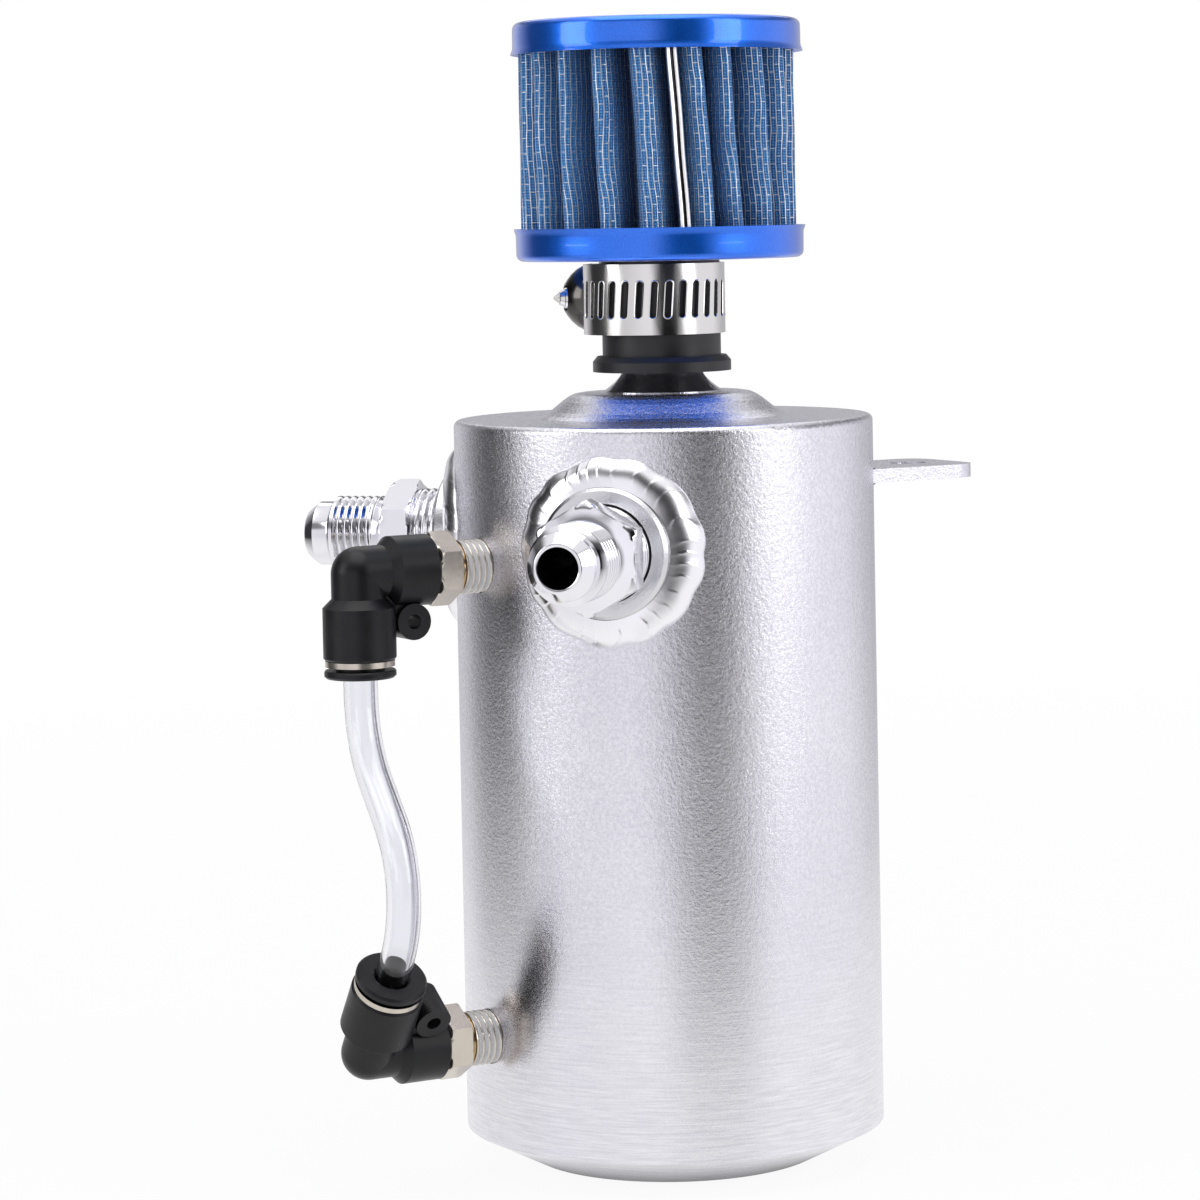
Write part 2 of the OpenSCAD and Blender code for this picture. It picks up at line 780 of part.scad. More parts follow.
// Ring of points round a station, at radius r
function tube_ring(station, r) =
    [for (j = [0:tube_sides - 1])
        let (b = 360 * j / tube_sides, p = station[0] + r * cos(b) * normal(station[1]))
        [leg_x + r * sin(b), p[0], p[1]]];

module sight_tube() {
    outside = [for (s = stations) tube_ring(s, tube_r)];
    inside = [for (s = stations) tube_ring(s, tube_ir)];
    count = len(stations);
    color("#f4f6fa", 0.4)
        at_azimuth(gauge_az)
            sweep([for (i = [0:tube_sides - 1])
                concat([for (s = [0:count - 1]) outside[s][i]], [for (s = [count - 1:-1:0]) inside[s][i]])
            ], looped = true);
}

// The breather filter

// One moulding: the disc that holds the pleats, the neck and the bead at its mouth
module rubber_base() {
    disc_r = pleat_d / 2 + 0.1;
    color("#2a2a2c")
        rotate_extrude()
            polygon([
                [neck_r, rubber_z], [bead_d / 2, rubber_z], [bead_d / 2, rubber_z + bead_h - 1],
                [bead_d / 2 - 0.8, rubber_z + bead_h], [rubber_r, rubber_z + bead_h],
                [rubber_r, base_z + cap_t], [disc_r - cap_round, base_z + cap_t],
                [disc_r, base_z + cap_t + cap_round], [disc_r, media_z],
                [neck_r, media_z]
            ]);
}

// Drawn metal cup: a flat end with a hole, a rolled edge and a side that ends in a lip.
// It is drawn with its end at z = 0 and its side upwards.
module cup(hole_r) {
    color("#1450d8")
        rotate_extrude()
            difference() {
                union() {
                    square([cap_r - cap_round, cap_round]);
                    translate([cap_r - cap_round, cap_round])
                        circle(r = cap_round);
                    translate([0, cap_round])
                        square([cap_r, cap_h - cap_round]);
                    polygon([
                        [0, cap_h - 0.9], [cap_r, cap_h - 0.9], [cap_r + cap_lip, cap_h], [0, cap_h]
                    ]);
                }
                translate([0, cap_t])
                    square([cap_r - cap_round, cap_round]);
                translate([cap_r - cap_round, cap_round])
                    circle(r = cap_round - cap_t);
                translate([0, cap_round])
                    square([cap_r - cap_t, cap_h - cap_round + eps]);
                if (hole_r > 0)
                    translate([0, -eps])
                        square([hole_r, cap_h]);
            }
}

module bottom_cap() {
    translate([0, 0, base_z])
        cup(rubber_r);
}

module top_cap() {
    translate([0, 0, potting_z + potting_h + cap_t])
        mirror([0, 0, 1])
            cup(0);
}

module top_potting() {
    color("#2a2a2c")
        translate([0, 0, potting_z])
            rotate_extrude()
                polygon([
                    [0, 0], [pleat_d / 2 + 0.1, 0], [pleat_d / 2 + 0.1, potting_h - cap_round],
                    [pleat_d / 2 + 0.1 - cap_round, potting_h], [0, potting_h]
                ]);
}

// Middle line of the pleated sheet at share u round the filter: rounded folds, slanting sides
fold_out = pleat_d / 2 - media_t / 2;
fold_in = fold_out - pleat_depth;
fold_steps = 10;
function fold_wave(v) = sign(v) * pow(abs(v), 0.7);
function fold_point(u) =
    let (a = 360 * u, r = (fold_out + fold_in) / 2 - (fold_out - fold_in) / 2 * fold_wave(cos(a * pleats)))
    r * [sin(a), -cos(a)];
function fold_side(u, d) =
    let (t = fold_point(u + 0.0004) - fold_point(u - 0.0004), n = [t[1], -t[0]] / norm(t))
    fold_point(u) + d * n;

module pleated_media() {
    count = pleats * fold_steps;
    color("#3f74b5")
        rotate([0, 0, seam_az])
            translate([0, 0, media_z])
                linear_extrude(media_h)
                    difference() {
                        polygon([for (i = [0:count - 1]) fold_side(i / count, media_t / 2)]);
                        polygon([for (i = [0:count - 1]) fold_side(i / count, -media_t / 2)]);
                    }
}

// Strip that joins the ends of the pleated sheet: a plate in the mouth of one valley and a
// web that reaches down into it
module seam_clip() {
    web_r = fold_in + media_t / 2 + 1;
    tip_r = pleat_d / 2;
    sheet = seam_w * 0.3;
    color("white")
        rotate([0, 0, seam_az])
            translate([0, 0, media_z])
                linear_extrude(media_h) {
                    translate([-seam_w / 2, -tip_r])
                        square([seam_w, sheet]);
                    translate([-sheet / 2, -tip_r])
                        square([sheet, tip_r - web_r]);
                }
}

// The worm clamp

// Places children at the middle of the band, which hangs to one side by its slack
module on_band() {
    rotate([0, 0, slack_az - 90])
        translate([band_slack, 0, 0])
            rotate([0, 0, 90 - slack_az])
                children();
}

// Slots all round except under the housing's feet, slightly slanted like the worm's thread
module clamp_band() {
    color("silver")
        on_band()
            difference() {
                translate([0, 0, band_z])
                    cylinder(h = band_w, r = band_or);
                translate([0, 0, band_z - eps])
                    cylinder(h = band_w + 2 * eps, r = band_ir);
                for (i = [1:slots - 1])
                    at_azimuth(housing_az + 360 * i / slots, worm_z)
                        rotate([4, 0, 0])
                            translate([band_ir - 1, 0, 0]) {
                                translate([0, -slot_w / 2, -(slot_h - slot_w) / 2])
                                    cube([3, slot_w, slot_h - slot_w]);
                                for (side = [-1, 1])
                                    translate([0, 0, side * (slot_h - slot_w) / 2])
                                        rod(0, 3, slot_w / 2);
                            }
            }
}

// Places children with the worm's axis along Y, its head towards +Y and the neck towards -X
module on_worm() {
    on_band()
        at_azimuth(housing_az, worm_z)
            translate([worm_y, 0, 0])
                rotate([180, 0, 0])
                    children();
}

// Pressed saddle: an arch over the worm, end walls that carry it, and feet round the band
module clamp_housing() {
    foot_z = band_w / 2 + foot_gap + foot_t;
    out_r = arch_r + arch_t;
    color("gray")
        difference() {
            on_worm()
                union() {
                    translate([0, housing_w / 2, 0])
                        rotate([90, 0, 0])
                            cylinder(h = housing_w, r = out_r);
                    translate([-arch_r - 0.1, -housing_w / 2, -foot_z])
                        cube([arch_r, housing_w, 2 * foot_z]);
                    translate([-worm_y + band_ir * cos(asin(housing_w / 2 / band_ir)) - arch_t,
                               -housing_w / 2, -foot_z])
                        cube([2 * arch_t, housing_w, 2 * foot_z]);
                    translate([0, -housing_w / 2 - cone_h, 0])
                        rotate([-90, 0, 0])
                            cylinder(h = cone_h, r1 = worm_r, r2 = out_r + 1.1);
                }
            on_worm()
                union() {
                    translate([0, housing_w / 2 + eps, 0])
                        rotate([90, 0, 0])
                            cylinder(h = housing_w + 2 * eps, r = arch_r);
                    translate([0, -housing_w / 2 - cone_h - eps, 0])
                        rotate([-90, 0, 0])
                            cylinder(h = cone_h + 1, r = worm_r - 0.9);
                }
            on_band()
                translate([0, 0, band_z - foot_gap])
                    cylinder(h = band_w + 2 * foot_gap, r = band_or + 0.02);
            translate([0, 0, band_z - 5])
                cylinder(h = band_w + 10, r = rubber_r + 0.3);
        }
}

// Worm with a pointed end, a collar and a slotted hexagonal head
module clamp_screw() {
    tip_y = -housing_w / 2 - cone_h;
    head_y = housing_w / 2 + 0.4;
    color("silver")
        on_worm()
            difference() {
                rotate([0, 0, 90])
                    union() {
                        turned([
                            [tip_y - point_h, 0], [tip_y - point_h, 0.4], [tip_y - 0.6, worm_r - 1.1],
                            [-housing_w / 2 + 1, worm_r - 1.1], [-housing_w / 2 + 1, worm_r],
                            [head_y - 0.4, worm_r], [head_y, worm_r - 0.8],
                            [head_y + 0.2, worm_r - 0.8], [head_y + 0.2, worm_r + 2],
                            [head_y + 1.2, worm_r + 2], [head_y + 1.8, worm_r], [head_y + 1.8, 0]
                        ]);
                        hex_nut(head_y + 1.6, head_y + 5, worm_hex_af / 2 / cos(30), 0.6);
                    }
                translate([-worm_hex_af, head_y + 3.6, -0.6])
                    cube([2 * worm_hex_af, 3, 1.2]);
            }
}

tank_wall_tube();
top_plate();
bottom_plate();
drain_boss();
drain_plug();
neck_pipe();
front_boss();
front_weld();
front_seal();
front_fitting();
side_boss();
side_weld();
side_seal();
side_fitting();
mounting_tab();
tab_weld_bead();
upper_stem();
upper_stem_seal();
upper_elbow();
upper_guide_ring();
upper_grab_ring();
upper_tube_seal();
upper_release_ring();
lower_stem();
lower_stem_seal();
lower_elbow();
lower_guide_ring();
lower_grab_ring();
lower_tube_seal();
lower_release_ring();
sight_tube();
rubber_base();
bottom_cap();
pleated_media();
seam_clip();
top_potting();
top_cap();
clamp_band();
clamp_housing();
clamp_screw();
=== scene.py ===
"""Oil catch can: materials, detailed metal and filter pieces, camera and studio light."""
import json
import math

import bmesh
import bpy
from mathutils import Matrix, Vector


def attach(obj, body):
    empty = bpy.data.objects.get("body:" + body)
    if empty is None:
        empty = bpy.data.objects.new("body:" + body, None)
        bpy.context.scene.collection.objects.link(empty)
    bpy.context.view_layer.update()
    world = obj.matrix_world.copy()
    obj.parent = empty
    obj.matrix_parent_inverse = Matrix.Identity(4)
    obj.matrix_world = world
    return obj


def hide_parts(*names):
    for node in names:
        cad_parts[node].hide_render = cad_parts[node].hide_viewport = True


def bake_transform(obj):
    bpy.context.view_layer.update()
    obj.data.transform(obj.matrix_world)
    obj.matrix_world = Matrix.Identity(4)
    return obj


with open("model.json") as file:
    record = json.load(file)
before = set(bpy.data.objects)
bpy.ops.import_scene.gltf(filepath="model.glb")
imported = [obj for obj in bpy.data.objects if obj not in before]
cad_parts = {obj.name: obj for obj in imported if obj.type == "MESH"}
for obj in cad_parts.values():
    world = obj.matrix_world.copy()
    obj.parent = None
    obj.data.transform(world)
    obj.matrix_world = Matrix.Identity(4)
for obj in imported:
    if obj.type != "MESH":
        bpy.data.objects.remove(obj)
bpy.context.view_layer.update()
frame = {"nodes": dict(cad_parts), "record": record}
nodes = frame["nodes"]

MM = 0.001
TAU = 2 * math.pi

# Camera: where the photograph was taken from, with its roll and framing
VIEW_AZ = math.radians(15.24)
VIEW_PITCH = math.radians(2.34)
VIEW_ROLL = math.radians(-1.05)
VIEW_DISTANCE = 0.7222
VIEW_HEIGHT = 0.1719


def aim_camera():
    """Puts the camera at the photograph's viewpoint."""
    data = bpy.data.cameras.new("photo_camera")
    data.sensor_width = 36
    data.lens = 119.47
    data.shift_x = -0.0518
    data.shift_y = -0.1917
    data.clip_start = 0.01
    place = Vector((math.sin(VIEW_AZ) * VIEW_DISTANCE, -math.cos(VIEW_AZ) * VIEW_DISTANCE, VIEW_HEIGHT))
    level = Vector((-math.sin(VIEW_AZ), math.cos(VIEW_AZ), 0))
    side = Vector((math.cos(VIEW_AZ), math.sin(VIEW_AZ), 0))
    ahead = level * math.cos(VIEW_PITCH) + Vector((0, 0, -1)) * math.sin(VIEW_PITCH)
    above = side.cross(ahead)
    right = side * math.cos(VIEW_ROLL) + above * math.sin(VIEW_ROLL)
    up = above * math.cos(VIEW_ROLL) - side * math.sin(VIEW_ROLL)
    turn = Matrix((right, up, -ahead)).transposed().to_4x4()
    camera = bpy.data.objects.new("photo_camera", data)
    bpy.context.collection.objects.link(camera)
    camera.matrix_world = Matrix.Translation(place) @ turn
    bpy.context.scene.camera = camera


# Materials

def new_material(name):
    """A material with its node tree and its shader."""
    mat = bpy.data.materials.new(name)
    mat.use_nodes = True
    tree = mat.node_tree
    shader = tree.nodes["Principled BSDF"]
    return mat, tree, shader


def add(tree, kind, inputs=None, **settings):
    """Adds a node, sets its properties, and fills or links its inputs."""
    node = tree.nodes.new(kind)
    for key, value in settings.items():
        setattr(node, key, value)
    for key, value in (inputs or {}).items():
        if isinstance(value, bpy.types.NodeSocket):
            tree.links.new(value, node.inputs[key])
        else:
            node.inputs[key].default_value = value
    return node


def place_coords(tree, scale=(1, 1, 1)):
    """Coordinates on the object, in metres, stretched by scale."""
    coords = add(tree, "ShaderNodeTexCoord")
    mapping = add(tree, "ShaderNodeMapping", {"Vector": coords.outputs["Object"], "Scale": scale})
    return mapping.outputs["Vector"]


def noise(tree, vector, scale, detail, rough=0.5):
    """Noise texture's value."""
    node = add(tree, "ShaderNodeTexNoise", {
        "Vector": vector, "Scale": scale, "Detail": detail, "Roughness": rough})
    return node.outputs["Fac"]


def maths(tree, operation, a, b, kind="ShaderNodeMath"):
    """A value, or a vector, worked out from two."""
    return add(tree, kind, {0: a, 1: b}, operation=operation).outputs[0]


def remap(tree, value, low, high, out_low, out_high):
    """Value moved from one range to another, clamped."""
    node = add(tree, "ShaderNodeMapRange", {
        "Value": value, "From Min": low, "From Max": high, "To Min": out_low, "To Max": out_high})
    return node.outputs["Result"]


def mix_color(tree, factor, a, b, blend="MIX"):
    """Two colours mixed by a factor."""
    node = add(tree, "ShaderNodeMix", data_type="RGBA", blend_type=blend)
    for socket, value in (("Factor", factor), ("A", a), ("B", b)):
        target = [s for s in node.inputs if s.name == socket and s.enabled][0]
        if isinstance(value, bpy.types.NodeSocket):
            tree.links.new(value, target)
        else:
            target.default_value = value
    return [s for s in node.outputs if s.enabled][0]


def mix_shaders(tree, factor, a, b):
    """Two shaders mixed by a factor."""
    return add(tree, "ShaderNodeMixShader", {0: factor, 1: a, 2: b}).outputs[0]


def bump(tree, height, strength, distance, normal=None):
    """Bump from a height, in metres of distance."""
    inputs = {"Height": height, "Strength": strength, "Distance": distance}
    if normal is not None:
        inputs["Normal"] = normal
    return add(tree, "ShaderNodeBump", inputs).outputs["Normal"]


def metal(name, color, rough, grain, grain_scale=1500, stretch=(1, 1, 1), wave=0.0, tint=0.06):
    """Metal with smudged roughness, fine grain, broad waves, and painted shade where the groove attribute
    says.
    """
    mat, tree, shader = new_material(name)
    coords = place_coords(tree)
    smudge = noise(tree, coords, 90, 4)
    tree.links.new(remap(tree, smudge, 0.3, 0.7, *rough), shader.inputs["Roughness"])
    dark = tuple(c * (1 - tint) for c in color) + (1,)
    clean = mix_color(tree, smudge, dark, tuple(color) + (1,))
    # Painted shade: the colour goes to dark grey where the groove attribute is high, in thread valleys and
    # in the seam clip's groove
    groove = add(tree, "ShaderNodeAttribute", attribute_name="groove").outputs["Fac"]
    tree.links.new(mix_color(tree, groove, clean, (0.22, 0.22, 0.24, 1)), shader.inputs["Base Color"])
    shader.inputs["Metallic"].default_value = 1
    normal = bump(tree, noise(tree, coords, 120, 2), 1, wave) if wave else None
    fine = noise(tree, place_coords(tree, stretch), grain_scale, 3, 0.6)
    tree.links.new(bump(tree, fine, 1, grain, normal), shader.inputs["Normal"])
    return mat


def plastic(name, color, rough, grain=0.00001, grain_scale=1800, specular=0.5):
    """Moulded plastic or rubber with fine grain and faint scuffs."""
    mat, tree, shader = new_material(name)
    coords = place_coords(tree)
    smudge = noise(tree, coords, 160, 5)
    tree.links.new(remap(tree, smudge, 0.3, 0.7, *rough), shader.inputs["Roughness"])
    light = tuple(min(1, c * 1.5 + 0.004) for c in color) + (1,)
    tree.links.new(mix_color(tree, remap(tree, smudge, 0.45, 0.75, 0, 1), tuple(color) + (1,), light),
                   shader.inputs["Base Color"])
    shader.inputs["Specular IOR Level"].default_value = specular
    fine = noise(tree, coords, grain_scale, 3, 0.6)
    tree.links.new(bump(tree, fine, 1, grain), shader.inputs["Normal"])
    return mat


def satin_tank():
    """Bead-blasted aluminium: frosted speckle that thins out towards the base, where turning lines show."""
    mat, tree, shader = new_material("satin_alloy_skin")
    coords = place_coords(tree)
    broad = noise(tree, coords, 28, 3)
    speck = noise(tree, coords, 1500, 4, 0.7)
    fine = noise(tree, coords, 3200, 2, 0.6)
    drawn = noise(tree, place_coords(tree, (0.05, 0.05, 1)), 2600, 4, 0.65)
    height = add(tree, "ShaderNodeSeparateXYZ", {"Vector": coords}).outputs["Z"]
    frost = remap(tree, height, 0.012, 0.07, 0.12, 1)
    pattern = mix_color(tree, frost, drawn, speck)
    shader.inputs["Metallic"].default_value = 1
    tone = mix_color(tree, remap(tree, broad, 0.35, 0.65, 0, 1),
                     (0.805, 0.795, 0.85, 1), (0.855, 0.845, 0.885, 1))
    flecks = mix_color(tree, remap(tree, pattern, 0.38, 0.62, 0, 1),
                       (0.84, 0.84, 0.855, 1), (1, 1, 1, 1))
    tree.links.new(mix_color(tree, 1.0, tone, flecks, "MULTIPLY"), shader.inputs["Base Color"])
    tree.links.new(remap(tree, fine, 0.3, 0.7, 0.19, 0.3), shader.inputs["Roughness"])
    normal = bump(tree, speck, frost, 0.00009)
    normal = bump(tree, drawn, remap(tree, height, 0.015, 0.09, 1, 0.35), 0.000022, normal)
    tree.links.new(normal, shader.inputs["Normal"])
    return mat


def clear_tube():
    """Clear polyurethane with a faint cool tint."""
    mat, tree, shader = new_material("clear_tube_skin")
    shader.inputs["Base Color"].default_value = (0.9, 0.9, 0.935, 1)
    shader.inputs["Transmission Weight"].default_value = 1
    shader.inputs["IOR"].default_value = 1.5
    haze = noise(tree, place_coords(tree), 300, 3)
    tree.links.new(remap(tree, haze, 0.3, 0.7, 0.03, 0.07), shader.inputs["Roughness"])
    return mat


def blue_paint():
    """Glossy metallic blue over drawn steel."""
    mat, tree, shader = new_material("blue_metal_skin")
    coords = place_coords(tree)
    flake = noise(tree, coords, 6000, 2, 0.8)
    tone = mix_color(tree, remap(tree, flake, 0.35, 0.65, 0, 1),
                     (0.004, 0.125, 0.8, 1), (0.012, 0.21, 0.98, 1))
    tree.links.new(tone, shader.inputs["Base Color"])
    shader.inputs["Metallic"].default_value = 0.8
    smudge = noise(tree, coords, 220, 4)
    tree.links.new(remap(tree, smudge, 0.3, 0.7, 0.27, 0.34), shader.inputs["Roughness"])
    shader.inputs["Coat Weight"].default_value = 1.0
    shader.inputs["Coat Roughness"].default_value = 0.05
    tree.links.new(bump(tree, noise(tree, coords, 140, 2), 1, 0.00003), shader.inputs["Normal"])
    return mat


def plated_brass():
    """Nickel-plated brass, where the coat attribute is below 0 bare brass, above 0 white thread sealant."""
    mat, tree, shader = new_material("plated_brass_skin")
    coords = place_coords(tree)
    smudge = noise(tree, coords, 300, 4)
    coat = add(tree, "ShaderNodeAttribute", attribute_name="coat").outputs["Fac"]
    sealant = remap(tree, coat, 0.15, 0.7, 0, 1)
    brass = remap(tree, coat, 0, -1, 0, 1)
    plating = mix_color(tree, smudge, (0.52, 0.47, 0.4, 1), (0.68, 0.63, 0.56, 1))
    tone = mix_color(tree, brass, plating, (0.42, 0.3, 0.16, 1))
    tree.links.new(mix_color(tree, sealant, tone, (0.72, 0.72, 0.73, 1)), shader.inputs["Base Color"])
    tree.links.new(remap(tree, sealant, 0, 1, 1, 0), shader.inputs["Metallic"])
    shine = remap(tree, smudge, 0.3, 0.7, 0.14, 0.26)
    rough = maths(tree, "ADD", shine, remap(tree, sealant, 0, 1, 0, 0.4))
    tree.links.new(rough, shader.inputs["Roughness"])
    tree.links.new(bump(tree, noise(tree, coords, 1800, 3, 0.6), 1, 0.000005), shader.inputs["Normal"])
    return mat


# Distance between the gauze's long wires, in mm of sheet
WIRE_GAP = 1.05


def gauze():
    """Blue cotton gauze under a fine bright wire mesh laid like bricks, from the sheet's own UV in mm."""
    mat, tree, shader = new_material("blue_gauze_skin")
    uv = add(tree, "ShaderNodeUVMap", uv_map="sheet").outputs["UV"]
    drift = add(tree, "ShaderNodeTexNoise", {"Vector": uv, "Scale": 0.12, "Detail": 1.0}).outputs["Color"]
    sway = maths(tree, "MULTIPLY", drift, (0.9, 0.5, 0), "ShaderNodeVectorMath")
    moved = maths(tree, "ADD", uv, sway, "ShaderNodeVectorMath")
    # The mesh: bricks' joints for the short wires, stronger lines for the long ones
    turned = add(tree, "ShaderNodeMapping", {"Vector": moved, "Rotation": (0, 0, math.pi / 2)})
    wires = add(tree, "ShaderNodeTexBrick", {
        "Vector": turned.outputs["Vector"], "Color1": (0, 0, 0, 1), "Color2": (0, 0, 0, 1),
        "Mortar": (1, 1, 1, 1), "Scale": 1.0, "Mortar Size": 0.06, "Mortar Smooth": 0.2,
        "Brick Width": 2.74, "Row Height": WIRE_GAP})
    wires.offset = 0.5
    across = add(tree, "ShaderNodeSeparateXYZ", {"Vector": moved}).outputs["X"]
    long_wire = remap(tree, maths(tree, "PINGPONG", across, WIRE_GAP / 2), 0.07, 0.12, 0.75, 0)
    wire = maths(tree, "MAXIMUM", wires.outputs["Fac"], long_wire)
    # The cotton: threads both ways, fluffy, with painted shade in the fold valleys and painted light on the
    # crests
    yarn = {"Vector": uv, "Scale": 0.62, "Distortion": 1.2, "Detail": 2, "Detail Scale": 3}
    threads = [add(tree, "ShaderNodeTexWave", yarn, wave_type="BANDS", bands_direction=way).outputs["Fac"]
               for way in "XY"]
    ribs = maths(tree, "MULTIPLY", *threads)
    fuzz = noise(tree, uv, 2.2, 4, 0.65)
    deep = mix_color(tree, remap(tree, fuzz, 0.35, 0.65, 0, 1),
                     (0.012, 0.065, 0.27, 1), (0.035, 0.17, 0.5, 1))
    weave = mix_color(tree, remap(tree, ribs, 0.1, 0.8, 0, 0.85), deep, (0.14, 0.42, 0.8, 1))
    # Painted shade and light: the crest attribute darkens the cotton to near black in the valleys and lifts
    # it above its own colour on the crests
    crest = add(tree, "ShaderNodeAttribute", attribute_name="crest").outputs["Fac"]
    shade = mix_color(tree, crest, (0.06, 0.08, 0.15, 1), (1.3, 1.25, 1.15, 1))
    shaded = mix_color(tree, 1.0, weave, shade, "MULTIPLY")
    # Painted shade and highlight on the wires: dark in the valleys, bright on the crests
    wire_painted_shade = mix_color(tree, crest, (0.2, 0.22, 0.27, 1), (0.92, 0.94, 0.96, 1))
    tree.links.new(mix_color(tree, wire, shaded, wire_painted_shade), shader.inputs["Base Color"])
    tree.links.new(remap(tree, wire, 0, 1, 0, 0.9), shader.inputs["Metallic"])
    tree.links.new(remap(tree, wire, 0, 1, 0.85, 0.28), shader.inputs["Roughness"])
    normal = bump(tree, ribs, 0.6, 0.00008)
    tree.links.new(bump(tree, wire, 1, 0.00012, normal), shader.inputs["Normal"])
    return mat


SKINS = {
    "satin_alloy": satin_tank(),
    "polished_alloy": metal("polished_alloy_skin", (0.865, 0.86, 0.895), (0.07, 0.14), 0.000002, 3000),
    "weld_alloy": metal("weld_alloy_skin", (0.935, 0.925, 0.955), (0.16, 0.3), 0.000006, wave=0.00005),
    "plated_brass": plated_brass(),
    "black_nylon": plastic("black_nylon_skin", (0.008, 0.008, 0.0095), (0.32, 0.44), specular=0.3),
    "clear_tube": clear_tube(),
    "seal_rubber": plastic("seal_rubber_skin", (0.012, 0.012, 0.012), (0.5, 0.6)),
    "black_rubber": plastic("black_rubber_skin", (0.016, 0.016, 0.018), (0.36, 0.5), 0.00002, 900),
    "blue_metal": blue_paint(),
    "blue_gauze": gauze(),
    "bright_steel": metal("bright_steel_skin", (0.86, 0.87, 0.88), (0.12, 0.2), 0.000001,
                          stretch=(1, 1, 0.05)),
    "stainless": metal("stainless_skin", (0.74, 0.73, 0.71), (0.12, 0.22), 0.000003, stretch=(1, 1, 0.1)),
}


def dress_nodes():
    """Gives every CAD node its slot's finish, but the bosses a duller one and the saddle a near-black metal
    as painted shade.
    """
    turned = metal("turned_alloy_skin", (0.74, 0.74, 0.76), (0.2, 0.3), 0.00004, 1800, tint=0.12)
    # Painted shade: a near-black metal colour for the clamp's saddle and its domed cup, which look dark in
    # their shade
    pressed = metal("painted_shade_saddle_skin", (0.11, 0.105, 0.1), (0.12, 0.2), 0.000004, wave=0.00005)
    own = {"front_boss": turned, "side_boss": turned, "clamp_housing": pressed}
    housing_cup(pressed)
    for part in frame["record"]["subparts"]:
        for slot in nodes[part["node"]].material_slots:
            slot.link = "OBJECT"
            slot.material = own.get(part["node"], SKINS[part["material_slot"]])


# Mesh helpers

def piece(name, verts, faces, body, slot, stands_for, smooth_angle, uvs=None, values=None):
    """A mesh piece that rides on a body, finished like a material slot. values is (attribute, numbers)."""
    mesh = bpy.data.meshes.new(name)
    mesh.from_pydata([Vector(v) * MM for v in verts], [], faces)
    if values is not None:
        mesh.attributes.new(values[0], "FLOAT", "POINT").data.foreach_set("value", values[1])
    if uvs is not None:
        layer = mesh.uv_layers.new(name="sheet")
        for loop in mesh.loops:
            layer.data[loop.index].uv = uvs[loop.vertex_index]
    shape = bmesh.new()
    shape.from_mesh(mesh)
    if uvs is None:
        bmesh.ops.recalc_face_normals(shape, faces=shape.faces)
    shape.to_mesh(mesh)
    shape.free()
    mesh.shade_smooth()
    mesh.set_sharp_from_angle(angle=math.radians(smooth_angle))
    obj = bpy.data.objects.new(name, mesh)
    bpy.context.collection.objects.link(obj)
    obj.data.materials.append(SKINS[slot])
    if body:
        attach(obj, body)
    if stands_for:
        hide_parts(*stands_for)
    return obj


def grid_faces(rows, columns, wrap_rows=False):
    """Quads between closed rows of points."""
    faces = []
    for i in range(rows if wrap_rows else rows - 1):
        for j in range(columns):
            k, m = (i + 1) % rows, (j + 1) % columns
            faces.append((i * columns + j, k * columns + j, k * columns + m, i * columns + m))
    return faces


def radial_frame(azimuth, z):
    """Matrix from a feature's own axes, +X outward, to the row frame, in mm."""
    return Matrix.Translation((0, 0, z)) @ Matrix.Rotation(math.radians(azimuth - 90), 4, "Z")


def thread_depth(x, angle, pitch, depth, start, end):
    """How far a thread's flank lies below its crest here, fading out at both ends."""
    phase = (x / pitch - angle / TAU) % 1
    valley = depth * max(0.0, 1 - abs(phase - 0.5) / 0.42)
    fade = min(1.0, max(0.0, (x - start) / (0.6 * pitch)), max(0.0, (end - x) / (0.6 * pitch)))
    return valley * fade


def hex_limit(angle, across):
    """Distance from the axis to a hexagon's side in this direction."""
    local = (angle + TAU / 12) % (TAU / 6) - TAU / 12
    return across / 2 / math.cos(local)


def spaced(start, end, count, r, kind):
    """Evenly spaced outline points (x, r, kind) from start to end."""
    return [(start + (end - start) * i / count, r, kind) for i in range(count + 1)]


# Hose port fitting: sizes as in the solids, in mm, out from the tank's axis
PORT_IN = 32.6
BOSS_FACE = 41.0
HEX_X = 46.5
NECK_X = 52.0
THREAD_X = 54.0
NOSE_X = 63.2
TIP_X = 68.2
PORT_Z = 112.5
PORT_R = 6.9
PORT_BORE = 3.5
PORT_PITCH = 1.41
PORT_HEX = 17.5


